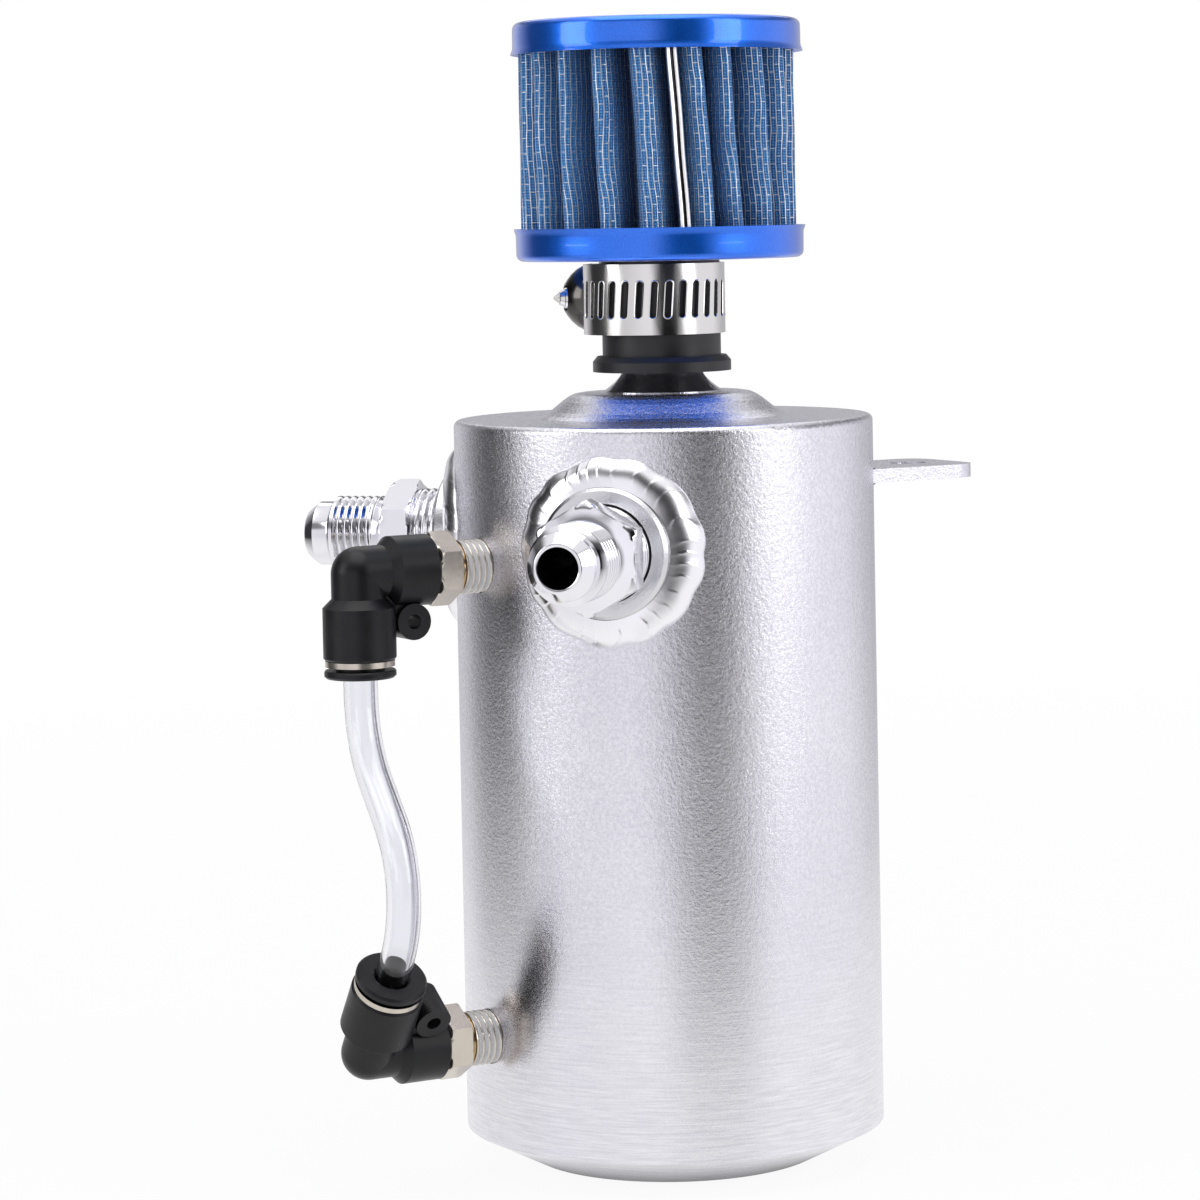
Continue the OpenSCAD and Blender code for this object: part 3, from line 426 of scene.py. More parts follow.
def port_outline():
    """Points (x, r, kind) of the fitting's outside, from the boss's face to the tip."""
    points = [(PORT_IN, 6.1, ""), (PORT_IN + 0.8, PORT_R, ""), (BOSS_FACE, PORT_R, "")]
    points += [(BOSS_FACE, 8.0, ""), (BOSS_FACE + 0.3, 8.3, "")]
    points += spaced(BOSS_FACE + 0.35, HEX_X - 0.2, 44, 8.33, "ridge")
    points += [(HEX_X - 0.02, 8.0, ""), (HEX_X, 8.9, "hex"), (HEX_X + 0.25, 10.0, "hex")]
    points += spaced(HEX_X + 0.5, HEX_X + 4.1, 8, 10.1, "hex")
    points += [(NECK_X - 0.55, 9.9, "hex"), (NECK_X - 0.1, 9.1, "hex"), (NECK_X, 8.5, "hex")]
    points += [(NECK_X + 0.1, 7.3, ""), (NECK_X + 0.5, 6.2, ""), (NECK_X + 0.9, 6.0, "")]
    points += [(THREAD_X - 0.9, 6.0, ""), (THREAD_X - 0.4, 6.5, "")]
    points += spaced(THREAD_X, NOSE_X - 0.7, 96, PORT_R, "thread")
    points += [(NOSE_X - 0.2, 6.3, ""), (NOSE_X, 5.95, ""), (NOSE_X + 0.2, 5.9, "")]
    points += [(66.1, 5.86, ""), (66.25, 5.75, ""), (67.95, 4.38, ""), (68.12, 4.22, "")]
    points += [(TIP_X, 4.1, ""), (TIP_X, 3.85, ""), (68.08, 3.6, ""), (67.8, PORT_BORE, "")]
    points += [(60, PORT_BORE, ""), (50, PORT_BORE, ""), (PORT_IN, PORT_BORE, "")]
    return points


def port_fitting(name, azimuth, node):
    """Straight fitting with a cut thread, a chamfered hexagon and a flared nose."""
    outline = port_outline()
    place = radial_frame(azimuth, PORT_Z)
    sides = 96
    verts, groove = [], []
    for x, r, kind in outline:
        for j in range(sides):
            angle = TAU * j / sides
            radius = r
            if kind == "hex":
                radius = min(r, hex_limit(angle, PORT_HEX))
            if kind == "thread":
                radius = r - thread_depth(x, angle, PORT_PITCH, 0.45, THREAD_X + 0.1, NOSE_X - 0.8)
            if kind == "ridge":
                radius = r - thread_depth(x, angle, PORT_PITCH, 0.5, BOSS_FACE + 0.2, HEX_X)
            # groove: painted shade in the thread's valleys, darker the deeper the valley
            groove.append(min(0.9, (r - radius) * 1.1) if kind in ("thread", "ridge") else 0.0)
            verts.append(place @ Vector((x, radius * math.cos(angle), radius * math.sin(angle))))
    faces = grid_faces(len(outline), sides, wrap_rows=True)
    return piece(name, verts, faces, "tank", "polished_alloy", (node,), 35, values=("groove", groove))


# Elbow stem: thread with sealant, hexagon, spindle with a ring groove. The elbows' legs stand at LEG_X.
STEM_IN = 34.0
STEM_R = 4.85
STEM_BORE = 2.2
STEM_PITCH = 1.15
STEM_HEX = 11.5
STEM_HEX_X = 43.7
BARREL_X = 48.3
SPINDLE_R = 4.15
SPINDLE_END = 56.5
GROOVE_X = 52.8
LEG_X = 61.7
GAUGE_AZ = -45
HIGH_Z = 109.1
LOW_Z = 25.1


def stem_outline():
    """Points (x, r, kind) of a stem's outside."""
    thread_end = STEM_HEX_X - 0.9
    points = [(STEM_IN, STEM_BORE, ""), (STEM_IN, STEM_R - 0.5, ""), (STEM_IN + 0.7, STEM_R, "")]
    points += spaced(STEM_IN + 0.8, thread_end, 96, STEM_R, "thread")
    points += [(thread_end + 0.1, 4.6, "neck"), (thread_end + 0.2, 4.55, "neck")]
    points += [(STEM_HEX_X - 0.02, 4.55, "neck"), (STEM_HEX_X, 5.4, "hex"), (STEM_HEX_X + 0.35, 6.5, "hex")]
    points += spaced(STEM_HEX_X + 0.6, STEM_HEX_X + 3.9, 6, 6.64, "hex")
    points += [(BARREL_X - 0.3, 6.5, "hex"), (BARREL_X, 5.8, "hex"), (BARREL_X + 0.02, SPINDLE_R, "")]
    points += [(GROOVE_X - 0.8, SPINDLE_R, ""), (GROOVE_X - 0.8, SPINDLE_R - 1, "")]
    points += [(GROOVE_X + 0.8, SPINDLE_R - 1, ""), (GROOVE_X + 0.8, SPINDLE_R, "")]
    points += [(SPINDLE_END, SPINDLE_R, ""), (SPINDLE_END, STEM_BORE, ""), (45, STEM_BORE, "")]
    return points


def elbow_stem(name, z, node):
    """Plated stem with a pipe thread, white sealant in its valleys, and a bare neck behind the hexagon."""
    outline = stem_outline()
    place = radial_frame(GAUGE_AZ, z)
    sides = 72
    verts, coat = [], []
    for x, r, kind in outline:
        for j in range(sides):
            angle = TAU * j / sides
            radius = r
            if kind == "hex":
                radius = min(r, hex_limit(angle, STEM_HEX))
            if kind == "thread":
                radius = r - thread_depth(x, angle, STEM_PITCH, 0.47, STEM_IN + 0.8, STEM_HEX_X - 0.9)
            filled = min(1.0, (r - radius) / 0.3) if kind == "thread" else 0.0
            coat.append(-1.0 if kind == "neck" else filled)
            verts.append(place @ Vector((x, radius * math.cos(angle), radius * math.sin(angle))))
    faces = grid_faces(len(outline), sides, wrap_rows=True)
    return piece(name, verts, faces, "tank", "plated_brass", (node,), 35, values=("coat", coat))


def weld_bead(name, azimuth, node):
    """Low flat bead round a boss: puddles like stacked coins, with an uneven scalloped outer edge."""
    tank_r, boss_r, width, height = 38.0, 11.53, 5.35, 2.55
    place = radial_frame(azimuth, PORT_Z)
    puddles, scallops = 30, 13
    steps, arc = puddles * 16, 24
    verts = []
    for i in range(steps):
        around = TAU * i / steps
        drift = 0.35 * math.sin(around * 2 + 1) + 0.22 * math.sin(around * 5)
        edge = 0.995 - 0.075 * abs(math.cos(around * scallops / 2 + drift)) ** 3
        edge -= 0.02 * (1 + math.sin(around * 3 + 2))
        ring = [(around, boss_r + (width * edge - 0.05) * k / 4, 0.03) for k in range(4)]
        for k in range(arc):
            t = math.pi / 2 * k / (arc - 1)
            share = math.cos(t) ** 0.8
            lag = 0.1 * (1 - (2 * share - 1) ** 2)
            wander = 0.45 * math.sin(around * 3 + 1) + 0.25 * math.sin(around * 7)
            phase = ((around - lag) * puddles / TAU + wander) % 1
            size = 0.13 + 0.08 * math.sin(around * 4 + 0.7)
            step = size * (phase ** 5 - 0.35) * math.sin(2 * t)
            crown = height * 0.97 * (1 - share ** 3.6) ** 0.75 * (1 - 0.12 * share) + step
            ring.append((around, boss_r + width * edge * share, 0.03 + max(0.0, crown)))
        for a, r, out in ring:
            y = r * math.cos(a)
            verts.append(place @ Vector((math.sqrt(tank_r ** 2 - y ** 2) + out, y, r * math.sin(a))))
    return piece(name, verts, grid_faces(steps, 4 + arc, wrap_rows=True), "tank", "weld_alloy", (node,), 60)


# Sight tube: the same route as its solid, in the plane of both legs, as (across, z) in mm. Each end starts
# at TUBE_STOP inside its elbow and leaves the collar, at COLLAR_OUT, straight before it bends.
HIGH_LEAN = 0
LOW_LEAN = 34
HIGH_BEND = 25.0
LOW_BEND = 22.0
TUBE_R = 3.0
TUBE_BORE = 2.0
TUBE_STOP = 5.9
COLLAR_OUT = 18.15
STRAIGHT = 3
LEG_OUT = COLLAR_OUT + STRAIGHT


def heading(angle):
    """The way down the tube where it leans by this angle."""
    return Vector((math.sin(math.radians(angle)), -math.cos(math.radians(angle))))


def normal(angle):
    """The way across the tube where it leans by this angle."""
    return Vector((math.cos(math.radians(angle)), math.sin(math.radians(angle))))


def tube_route():
    """Stations ((y, z), lean) down the tube: straight, arc, line, arc, straight."""
    high_end = Vector((0, HIGH_Z)) + TUBE_STOP * heading(HIGH_LEAN)
    high_start = Vector((0, HIGH_Z)) + LEG_OUT * heading(HIGH_LEAN)
    low_end = Vector((0, LOW_Z)) - TUBE_STOP * heading(-LOW_LEAN)
    low_start = Vector((0, LOW_Z)) - LEG_OUT * heading(-LOW_LEAN)
    push = HIGH_BEND * normal(HIGH_LEAN) + LOW_BEND * normal(-LOW_LEAN)
    gap = low_start - high_start
    qa = push.dot(push) - (HIGH_BEND + LOW_BEND) ** 2
    qb = gap.dot(push)
    share = min(1, 0.98 * (qb - math.sqrt(qb * qb - qa * gap.dot(gap))) / qa)
    high_r, low_r = HIGH_BEND * share, LOW_BEND * share
    high_centre = high_start + high_r * normal(HIGH_LEAN)
    low_centre = low_start - low_r * normal(-LOW_LEAN)
    span = low_centre - high_centre
    line = math.sqrt(span.dot(span) - (high_r + low_r) ** 2)
    slant = math.degrees(math.atan2(span[0], -span[1]) + math.atan((high_r + low_r) / line))
    stations = [(high_end.lerp(high_start, i / 10), HIGH_LEAN) for i in range(10)]
    for i in range(25):
        lean = HIGH_LEAN + (slant - HIGH_LEAN) * i / 24
        stations.append((high_centre - high_r * normal(lean), lean))
    first, last = stations[-1][0], low_centre + low_r * normal(slant)
    stations += [(first.lerp(last, i / 6), slant) for i in range(1, 6)]
    for i in range(49):
        lean = slant + (-LOW_LEAN - slant) * i / 48
        stations.append((low_centre + low_r * normal(lean), lean))
    stations += [(low_start.lerp(low_end, i / 10), -LOW_LEAN) for i in range(1, 11)]
    return stations


def tube_half(name, stations, closed_first, node=None):
    """One half of the tube's wall, closed at its elbow end and open where the halves meet."""
    place = radial_frame(GAUGE_AZ, 0)
    sides = 40
    rows = [(s, TUBE_R) for s in stations] + [(s, TUBE_BORE) for s in reversed(stations)]
    verts = []
    for (centre, lean), r in rows:
        for j in range(sides):
            angle = TAU * j / sides
            p = centre + r * math.cos(angle) * normal(lean)
            verts.append(place @ Vector((LEG_X + r * math.sin(angle), p[0], p[1])))
    count = len(rows)
    faces = grid_faces(count, sides, wrap_rows=True)
    middle = len(stations) - 1
    open_row = count - 1 if not closed_first else middle
    faces = [f for f in faces if f[0] // sides != open_row]
    return piece(name, verts, faces, None, "clear_tube", (node,) if node else (), 60)


def sight_tube():
    """Two halves that meet in the middle, each from its own elbow's end of the route."""
    stations = tube_route()
    half = len(stations) // 2
    place = radial_frame(GAUGE_AZ, 0)

    def spot(i):
        """A station's place in the shared frame, in metres."""
        p = stations[i][0]
        return tuple(place @ Vector((LEG_X, p[0], p[1])) * MM)

    upper = tube_half("sight_tube_upper_half", stations[:half + 1], True, "sight_tube")
    lower = tube_half("sight_tube_lower_half", stations[half:], False)
    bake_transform(upper)
    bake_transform(lower)


# Breather filter: the crests that the photograph shows stand at these degrees from the sheet's seam
PLEATS = 22
CRESTS_RIGHT = (10.5, 23.4, 40.9, 59.4)
CRESTS_LEFT = (83.5, 68.7, 50.5, 31.7, 13.8)
MEDIA_Z = 167.8
MEDIA_TOP = 200.3
FOLD_OUT = 24.75
FOLD_IN = 18.25
SEAM_AZ = 22


def fold_angles():
    """Angles from the seam of each valley and crest in turn, closer together where they aren't seen."""
    hidden = PLEATS - len(CRESTS_RIGHT) - len(CRESTS_LEFT)
    start, end = CRESTS_RIGHT[-1], 360 - CRESTS_LEFT[0]
    crests = list(CRESTS_RIGHT) + [start + (end - start) * (i + 1) / (hidden + 1) for i in range(hidden)]
    crests += [360 - c for c in CRESTS_LEFT]
    knots = [0.0]
    for i, c in enumerate(crests):
        knots.append(c)
        knots.append((c + crests[i + 1]) / 2 if i + 1 < PLEATS else 360.0)
    return [math.radians(k) for k in knots]


def pleated_sheet():
    """Folded sheet with rounded folds that lean and wander a little, as pressed by hand."""
    per, rows = 40, 20
    count = PLEATS * per
    knots = fold_angles()
    verts, uvs, crest = [], [], []
    for side in (1, -1):
        for k in range(rows + 1):
            share = k / rows
            middle = math.sin(math.pi * share)
            points = []
            for i in range(count):
                fold = i / per
                half = int(fold * 2)
                a = knots[half] + (knots[half + 1] - knots[half]) * (fold * 2 - half)
                wave = math.cos(TAU * fold)
                v = math.copysign(abs(wave) ** 0.7, wave)
                lean = 0.012 * math.sin(fold * 2.4 + 1) * middle + pleat_lean(a, share)
                outer = FOLD_OUT - 0.25 + 0.2 * math.sin(fold * 5.1)
                r = (outer + FOLD_IN) / 2 - (outer - FOLD_IN) / 2 * v
                r += 0.06 * math.sin(fold * 7.7 + k * 0.4) * middle
                points.append(Vector((r * math.sin(a + lean), -r * math.cos(a + lean))))
                # crest: 0 in a fold's valley, 1 on its crest; the gauze paints its shade and light by it
                crest.append(min(1.0, max(0.0, (r - FOLD_IN) / (outer - FOLD_IN))) ** 0.8)
            run, last = 0.0, None
            for j in range(count):
                step = points[(j + 1) % count] - points[j - 1]
                p = points[j] + Vector((step[1], -step[0])).normalized() * 0.45 * side
                run += (p - last).length if last else 0
                last = p
                verts.append(Vector((p[0], p[1], MEDIA_Z + (MEDIA_TOP - MEDIA_Z) * share)))
                uvs.append((run, MEDIA_Z + (MEDIA_TOP - MEDIA_Z) * share))
    turn = Matrix.Rotation(math.radians(SEAM_AZ), 4, "Z")
    verts = [turn @ v for v in verts]
    stride = (rows + 1) * count
    faces = []
    for k in range(rows):
        for j in range(count):
            m = (j + 1) % count
            a, b, c, d = k * count + j, k * count + m, (k + 1) * count + m, (k + 1) * count + j
            faces.append((a, b, c, d))
            faces.append((stride + a, stride + d, stride + c, stride + b))
    for j in range(count):
        m = (j + 1) % count
        faces.append((j, stride + j, stride + m, m))
        top = rows * count
        faces.append((top + j, top + m, stride + top + m, stride + top + j))
    return piece("pleated_gauze", verts, faces, "tank", "blue_gauze", ("pleated_media",), 70,
                 uvs, ("crest", crest))


def pleat_lean(a, share):
    """Turn of the folds at angle a from the seam, at share of the height: they lean more to its right."""
    return (0.85 - share) * (0.07 + 0.04 * math.sin(a + 0.3))


def seam_clip():
    """Bright folded strip that joins the ends of the sheet: two rolled lips with a groove between."""
    section = [(-1.0, 24.75), (-0.95, 25.0), (-0.8, 25.2), (-0.58, 25.3), (-0.36, 25.2), (-0.22, 25.0),
               (-0.19, 24.75), (-0.18, 23.4), (0.18, 23.4), (0.19, 24.75), (0.22, 25.0), (0.36, 25.2),
               (0.58, 25.3), (0.8, 25.2), (0.95, 25.0), (1.0, 24.75), (0.95, 23.2), (0.3, 23.0),
               (0.3, 20.2), (-0.3, 20.2), (-0.3, 23.0), (-0.95, 23.2)]
    rows = 30
    verts, groove = [], []
    for k in range(rows + 1):
        z = MEDIA_Z + 0.02 + (MEDIA_TOP - MEDIA_Z - 0.04) * k / rows
        slant = SEAM_AZ + math.degrees(pleat_lean(0, k / rows)) + 0.1 * math.sin(k * 0.4)
        for t, r in section:
            a = math.radians(slant) + t / r
            verts.append(Vector((r * math.sin(a), -r * math.cos(a), z)))
            # groove: painted shade down the groove between the two lips
            groove.append(1.0 if abs(t) < 0.2 and r < 25 else 0.0)
    count = len(section)
    faces = grid_faces(rows + 1, count)
    faces.append(tuple(range(count)))
    faces.append(tuple(rows * count + j for j in reversed(range(count))))
    clip = piece("bright_seam_clip", verts, faces, "tank", "bright_steel", ("seam_clip",), 30,
                 values=("groove", groove))
    clip.data.materials[0] = metal("rolled_clip_skin", (0.92, 0.92, 0.92), (0.28, 0.34), 0.000002)
    return clip


# Clamp: its band hangs to one side of the rubber neck by its slack, towards SLACK_AZ
RUBBER_R = 10.75
BAND_SLACK = 1.4
BAND_T = 0.7
BAND_HALF = 6.35
HOUSING_AZ = 207
SLACK_AZ = HOUSING_AZ - 312
HOUSING_W = 14
WORM_R = 3.3
WORM_PITCH = 2.7
WORM_Y = RUBBER_R + BAND_SLACK + BAND_T + WORM_R + 0.15
WORM_Z = 155.45


def band_shift():
    """Matrix of the band's step to one side, in mm."""
    hang = math.radians(SLACK_AZ)
    return Matrix.Translation((BAND_SLACK * math.sin(hang), -BAND_SLACK * math.cos(hang), 0))


def worm_frame():
    """Matrix from the worm's own axis, +X towards its head, to the row frame, in mm."""
    out = band_shift() @ radial_frame(HOUSING_AZ, WORM_Z) @ Matrix.Translation((WORM_Y, 0, 0))
    return out @ Matrix.Rotation(math.pi, 4, "X") @ Matrix.Rotation(math.pi / 2, 4, "Z")


def worm_screw():
    """Stepped point, rolled worm thread, collar and slotted hexagonal head."""
    tip, head = -HOUSING_W / 2 - 5.2, HOUSING_W / 2 + 0.4
    body = -HOUSING_W / 2 + 1
    outline = [(tip - 3.4, 0.02, ""), (tip - 3.35, 0.3, ""), (tip - 2.4, 0.95, ""), (tip - 2.3, 1.25, "")]
    outline += [(tip - 1.5, 1.6, ""), (tip - 1.4, 1.85, ""), (tip - 0.7, 2.1, ""), (tip - 0.5, 2.2, "")]
    outline += [(body - 0.05, 2.2, "")] + spaced(body, head - 0.5, 120, WORM_R - 0.03, "thread")
    outline += [(head - 0.2, 2.5, ""), (head + 0.2, 2.5, ""), (head + 0.2, 5.1, ""), (head + 0.35, 5.3, "")]
    outline += [(head + 1.0, 5.3, ""), (head + 1.3, 5.0, ""), (head + 1.5, 3.9, "")]
    outline += [(head + 1.6, 3.5, "hex"), (head + 1.75, 4.0, "hex")]
    outline += spaced(head + 1.9, head + 4.4, 5, 4.04, "hex")
    outline += [(head + 4.7, 3.9, "hex"), (head + 4.95, 3.4, "hex")]
    outline += [(head + 5.0, 3.0, ""), (head + 5.0, 0.02, "")]
    place = worm_frame()
    sides = 72
    verts = []
    for x, r, kind in outline:
        for j in range(sides):
            angle = TAU * j / sides
            radius = r
            if kind == "hex":
                radius = min(r, hex_limit(angle, 7))
            if kind == "thread":
                radius = r - thread_depth(x, angle, WORM_PITCH, 0.9, body, head - 0.5)
            in_slot = x > head + 4.6 and abs(radius * math.sin(angle)) < 0.6
            inset = 1.2 if in_slot else 0.0
            verts.append(place @ Vector((x - inset, radius * math.cos(angle), radius * math.sin(angle))))
    faces = grid_faces(len(outline), sides)
    faces.append(tuple(range(sides)))
    last = (len(outline) - 1) * sides
    faces.append(tuple(last + j for j in reversed(range(sides))))
    return piece("worm_screw", verts, faces, "worm", "stainless", ("clamp_screw",), 35)


# How bright the studio is all round, as (share of the turn from -X, level). The photograph is taken
# from 0.292, and the gap at 0.36 is the dark stripe down the front of the tank.
STUDIO = [
    (0.0, 0.04), (0.05, 0.06), (0.09, 0.8), (0.16, 0.8), (0.24, 1.0), (0.278, 1.05),
    (0.3, 0.45), (0.32, 0.06), (0.335, 0.01), (0.388, 0.01), (0.41, 0.4), (0.448, 1.0),
    (0.6, 1.0), (0.68, 0.6), (0.8, 0.5), (0.88, 0.8), (0.925, 0.4), (0.955, 0.04)]
# How bright it is above the walls, as (share of the way up, level): a dark gap, then the lamp overhead
CEILING = [(0.0, 1.0), (0.22, 1.0), (0.34, 0.3), (0.55, 0.22), (0.68, 0.9), (1.0, 1.0)]


def level_ramp(tree, value, stops):
    """Grey level along a value, from (place, level) stops."""
    ramp = add(tree, "ShaderNodeValToRGB", {"Fac": value})
    band = ramp.color_ramp
    while len(band.elements) < len(stops):
        band.elements.new(0.5)
    for element, (place, level) in zip(band.elements, stops):
        element.position = place
        element.color = (level, level * 0.995, level * 1.02, 1)
    return ramp.outputs["Color"]


def lathe(name, profile, place, sides, slot, stands_for=(), skin=None, axis="X"):
    """Turned piece on the tank from a closed loop of (place along, radius) points, about +X or +Z."""
    verts = []
    for x, r in profile:
        for j in range(sides):
            u, v = r * math.cos(TAU * j / sides), r * math.sin(TAU * j / sides)
            verts.append(place @ (Vector((x, u, v)) if axis == "X" else Vector((u, v, x))))
    faces = grid_faces(len(profile), sides, wrap_rows=True)
    turned = piece(name, verts, faces, "tank", slot, stands_for, 40)
    if skin:
        turned.data.materials[0] = skin
    return turned


def housing_cup(skin):
    """Domed end of the clamp's saddle, which the screw's point looks out of."""
    foot = -HOUSING_W / 2
    profile = [(foot + 0.1, 5.62), (foot + 0.05, 5.85), (foot - 0.3, 6.2), (foot - 1.5, 6.3),
               (foot - 2.8, 6.0), (foot - 4.0, 5.35), (foot - 5.1, 4.4), (foot - 5.9, 3.4),
               (foot - 6.4, 2.6), (foot - 6.25, 2.35), (foot - 5.6, 3.2), (foot - 4.8, 4.1),
               (foot - 3.7, 5.0), (foot - 2.6, 5.6), (foot - 0.4, 5.8)]
    # The skin is the saddle's near-black metal: painted shade
    return lathe("clamp_housing_cup", profile, worm_frame(), 64, "stainless", skin=skin)


def slotted_band():
    """Clamp's band: slots all round with a pressed-up rim, slanting like the worm's thread."""
    inner, outer, count = RUBBER_R + BAND_SLACK, RUBBER_R + BAND_SLACK + BAND_T, 30
    slot_r, straight, slant = 0.6, 2.7, math.tan(math.radians(4))

    def down_one_side(top, side):
        """The top, the straight side, then both again turned half round, as (across, z) points."""
        half = top + [(-side, straight * (1 - k / 2)) for k in range(1, 4)]
        return half + [(-across, -z) for across, z in half]

    def slot_outline(out):
        """The slot's outline, this far out from its edge."""
        r = slot_r + out
        turns = [math.pi * k / 12 for k in range(13)]
        top = [(r * math.cos(t), straight + r * math.sin(t)) for t in turns]
        return [(across + z * slant, z) for across, z in down_one_side(top, r)]

    def cell_outline(r):
        """The outline of the slot's share of the band, at this radius."""
        side, rise = math.pi / count * r, BAND_HALF - straight
        top = [(side, straight + rise * k / 3) for k in range(3)]
        top += [(side * (1 - k / 3), BAND_HALF) for k in range(7)]
        top += [(-side, BAND_HALF - rise * k / 3) for k in range(1, 4)]
        return down_one_side(top, side)

    rings = [(inner, cell_outline(inner)), (inner, slot_outline(0)), (outer - 0.04, slot_outline(0)),
             (outer + 0.05, slot_outline(0.1)), (outer, slot_outline(0.24)), (outer, slot_outline(0.3)),
             (outer, cell_outline(outer))]
    verts, faces, known = [], [], {}

    def corner(place, r, across, z):
        """Number of the vertex here, which neighbouring cells share."""
        spot = place @ Vector((r * math.cos(across / r), r * math.sin(across / r), z))
        key = tuple(round(v, 3) for v in spot)
        if key not in known:
            known[key] = len(verts)
            verts.append(spot)
        return known[key]

    for i in range(count):
        place = band_shift() @ radial_frame(HOUSING_AZ + 360 * i / count, WORM_Z)
        rows = [[corner(place, r, across, z) for across, z in outline] for r, outline in rings]
        points = len(rows[0])
        for a, b in zip(rows, rows[1:]):
            for j in range(points):
                m = (j + 1) % points
                faces.append((a[j], b[j], b[m], a[m]))
        # The band's two edges close the wall
        for start in (3, 3 + points // 2):
            for j in range(start, start + 6):
                faces.append((rows[-1][j], rows[0][j], rows[0][j + 1], rows[-1][j + 1]))
    return piece("slotted_band", verts, faces, "tank", "stainless", ("clamp_band",), 35)


# The neck: crown of the dome, mouth of the rubber and top of the pipe
CROWN_Z = 138.5
RUBBER_Z = 142.3
NECK_TOP = 158.8
PIPE_R = 7.2
PIPE_BORE = 5.8


def neck_flare():
    """Polished pipe with a hollow-sided flare, streaked by the polishing wheel."""
    skin = metal("streaked_alloy_skin", (0.72, 0.72, 0.75), (0.08, 0.18), 0.00025, 380, (1, 1, 0.1))
    profile = [(CROWN_Z - 6, PIPE_BORE), (CROWN_Z - 6, PIPE_R), (CROWN_Z, PIPE_R)]
    profile += [(CROWN_Z, 10.7), (CROWN_Z + 0.25, 10.75)]
    for i in range(9):
        share = i / 8
        profile.append((CROWN_Z + 0.45 + 3.3 * share, 7.3 + 3.1 * (1 - share) ** 1.5))
    profile += [(RUBBER_Z, PIPE_R), (NECK_TOP - 1, PIPE_R), (NECK_TOP, 6.6), (NECK_TOP, PIPE_BORE)]
    return lathe("neck_flare", profile, Matrix(), 96, "polished_alloy", ("neck_pipe",), skin, "Z")


# Caps: drawn cups with a tight edge, as (distance from the closed end, radius)
CAP_R = 26.05
CAP_EDGE = 1.3
BASE_Z = 162.5
CAP_TOP = 205.62


def drawn_cap(name, node, end_z, upward, hole_r):
    """Drawn cup with a rolled edge and a flared lip."""
    turns = [math.radians(t) for t in range(0, 91, 10)]
    outside = [(CAP_EDGE - CAP_EDGE * math.cos(t), CAP_R - CAP_EDGE + CAP_EDGE * math.sin(t)) for t in turns]
    outside += [(3.0, CAP_R + 0.02), (4.4, CAP_R + 0.03), (4.9, CAP_R + 0.08)]
    outside += [(5.4, CAP_R + 0.28), (5.85, CAP_R + 0.42)]
    inside = [(5.88, CAP_R + 0.25), (5.4, CAP_R - 0.1), (4.9, CAP_R - 0.5), (3.0, CAP_R - 0.57)]
    inside += [(CAP_EDGE, CAP_R - 0.58), (0.75, CAP_R - 0.75), (0.6, CAP_R - CAP_EDGE)]
    profile = [(0.0, hole_r)] + outside + inside + [(0.6, hole_r)]
    profile = [(end_z + x * upward, r) for x, r in profile]
    return lathe(name, profile, Matrix(), 144, "blue_metal", (node,), axis="Z")


def lights():
    """Soft studio light from both sides and above, and a pale studio with darker gaps between its walls."""
    def card(name, place, size, level):
        """Lamp aimed at the middle of the can, as bright for its size as level says."""
        data = bpy.data.lights.new(name, "AREA")
        data.shape = "RECTANGLE"
        data.size, data.size_y = size
        data.energy = level * math.pi * size[0] * size[1]
        lamp = bpy.data.objects.new(name, data)
        bpy.context.collection.objects.link(lamp)
        lamp.location = place
        lamp.rotation_euler = (Vector((0, 0, 0.1)) - Vector(place)).to_track_quat("-Z", "Y").to_euler()

    card("left_card", (-0.75, -0.55, 0.42), (0.4, 0.6), 2.4)
    card("right_card", (0.85, -0.25, 0.42), (0.4, 0.6), 2.2)
    card("top_card", (0.0, -0.15, 0.9), (0.8, 0.8), 1.5)
    card("back_card", (-0.2, 0.8, 0.75), (0.8, 0.4), 1.0)

    world = bpy.data.worlds.new("studio")
    bpy.context.scene.world = world
    world.use_nodes = True
    tree = world.node_tree
    tree.nodes.clear()
    coords = add(tree, "ShaderNodeTexCoord")
    split = add(tree, "ShaderNodeSeparateXYZ", {"Vector": coords.outputs["Generated"]})
    around = maths(tree, "ARCTAN2", split.outputs["Y"], split.outputs["X"])
    share = remap(tree, around, -math.pi, math.pi, 0, 1)
    walls = level_ramp(tree, share, STUDIO)
    lift = remap(tree, split.outputs["Z"], 0.35, 0.75, 0, 1)
    room = mix_color(tree, lift, walls, (1, 1, 1, 1))
    glow = mix_color(tree, 1.0, room, level_ramp(tree, split.outputs["Z"], CEILING), "MULTIPLY")
    paths = add(tree, "ShaderNodeLightPath")
    plain = add(tree, "ShaderNodeBackground", {"Color": (1, 1, 1, 1), "Strength": 1.0})
    strength = remap(tree, paths.outputs["Is Glossy Ray"], 0, 1, 0.7, 1.0)
    studio = add(tree, "ShaderNodeBackground", {"Color": glow, "Strength": strength})
    seen = maths(tree, "MAXIMUM", paths.outputs["Is Camera Ray"], paths.outputs["Is Transmission Ray"])
    final = mix_shaders(tree, seen, studio.outputs[0], plain.outputs[0])
    output = add(tree, "ShaderNodeOutputWorld")
    tree.links.new(final, output.inputs["Surface"])


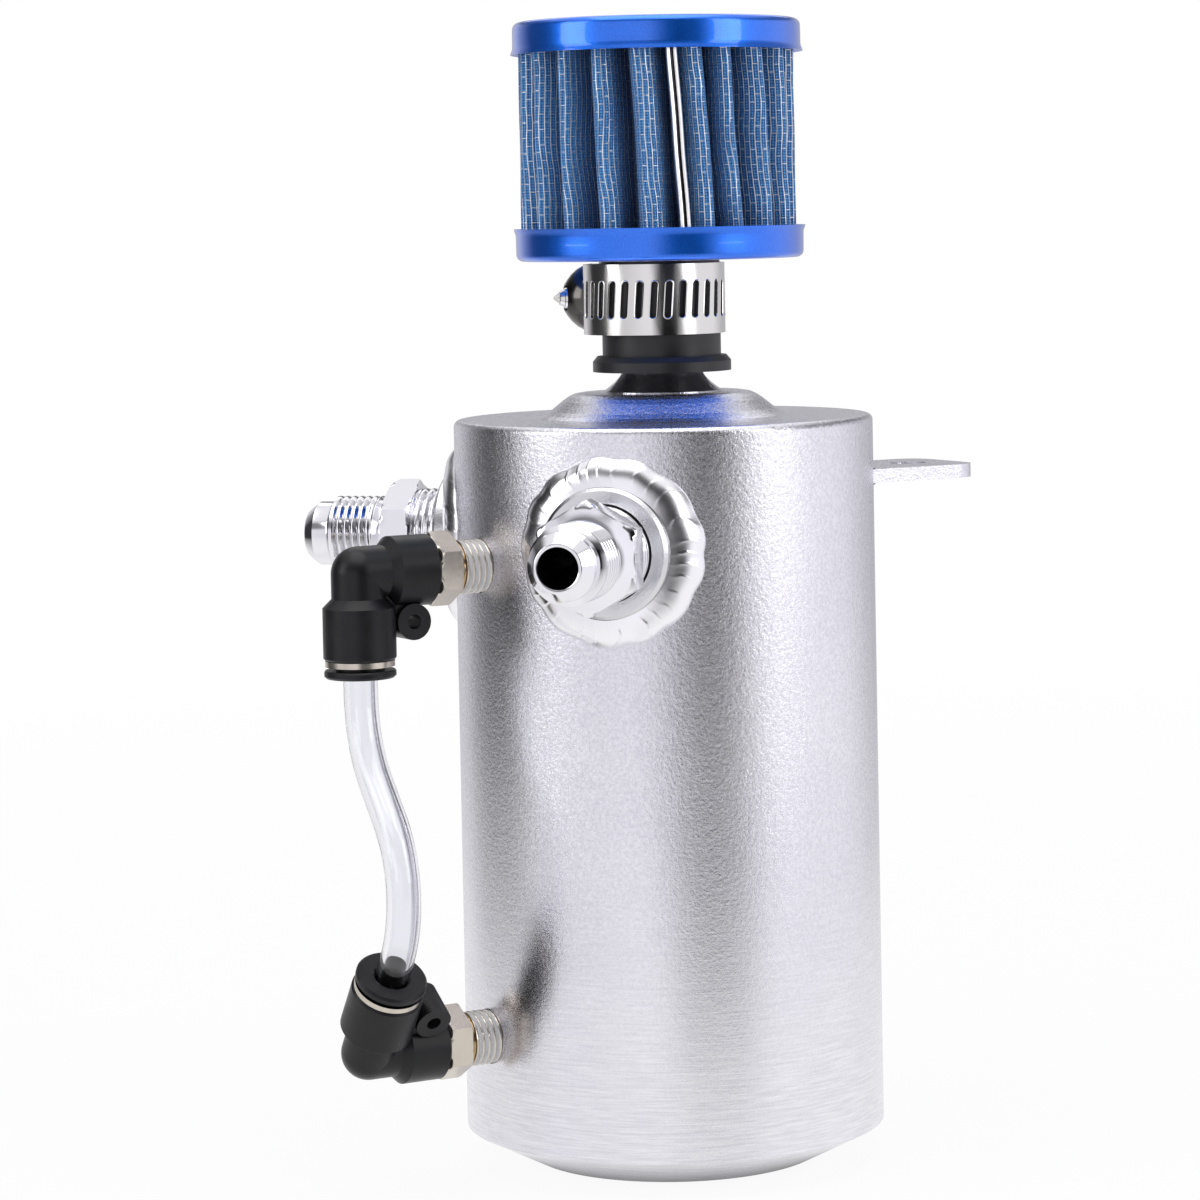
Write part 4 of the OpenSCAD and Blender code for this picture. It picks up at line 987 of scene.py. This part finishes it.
def floor():
    """White floor that keeps a soft shadow, fades into the white studio, and is clear from below."""
    bpy.ops.mesh.primitive_circle_add(vertices=96, radius=0.9, fill_type="NGON", location=(0, 0, -0.0005))
    ground = bpy.context.object
    ground.name = "white_floor"
    mat, tree, shader = new_material("white_floor_skin")
    shader.inputs["Base Color"].default_value = (0.9, 0.9, 0.9, 1)
    shader.inputs["Roughness"].default_value = 0.8
    coords = add(tree, "ShaderNodeTexCoord")
    reach = add(tree, "ShaderNodeVectorMath", {0: coords.outputs["Object"]}, operation="LENGTH")
    reach = reach.outputs["Value"]
    paths = add(tree, "ShaderNodeLightPath")
    clear = add(tree, "ShaderNodeBsdfTransparent").outputs[0]
    # As the camera sees it: nearly pure white, with a trace of the shadow
    glow = add(tree, "ShaderNodeEmission", {"Color": (1, 1, 1, 1), "Strength": 1.0}).outputs[0]
    lit = mix_shaders(tree, 0.92, shader.outputs[0], glow)
    # As shiny metal mirrors it: white, with a painted shadow under the tank, and a little thinner further
    # out
    level = remap(tree, reach, 0.0262, 0.0315, 0.3, 1.0)
    shine = add(tree, "ShaderNodeEmission", {"Color": (1, 1, 1, 1), "Strength": level}).outputs[0]
    mirrored = mix_shaders(tree, remap(tree, reach, 0.08, 0.4, 0.06, 0.16), shine, clear)
    others = mix_shaders(tree, paths.outputs["Is Glossy Ray"], shader.outputs[0], mirrored)
    seen = mix_shaders(tree, paths.outputs["Is Camera Ray"], others, lit)
    below = add(tree, "ShaderNodeNewGeometry").outputs["Backfacing"]
    gone = maths(tree, "MAXIMUM", remap(tree, reach, 0.15, 0.75, 0, 1), below)
    final = mix_shaders(tree, gone, seen, clear)
    tree.links.new(final, tree.nodes["Material Output"].inputs["Surface"])
    ground.data.materials.append(mat)


bpy.context.scene.view_settings.view_transform = "Standard"
aim_camera()
lights()
floor()
dress_nodes()
port_fitting("front_hose_fitting", 0, "front_fitting")
port_fitting("side_hose_fitting", -90, "side_fitting")
elbow_stem("upper_plated_stem", HIGH_Z, "upper_stem")
elbow_stem("lower_plated_stem", LOW_Z, "lower_stem")
weld_bead("front_weld_bead", 0, "front_weld")
weld_bead("side_weld_bead", -90, "side_weld")
sight_tube()
pleated_sheet()
seam_clip()
worm_screw()
slotted_band()
neck_flare()
drawn_cap("top_blue_cap", "top_cap", CAP_TOP, -1, 0.02)
drawn_cap("bottom_blue_cap", "bottom_cap", BASE_Z, 1, RUBBER_R)
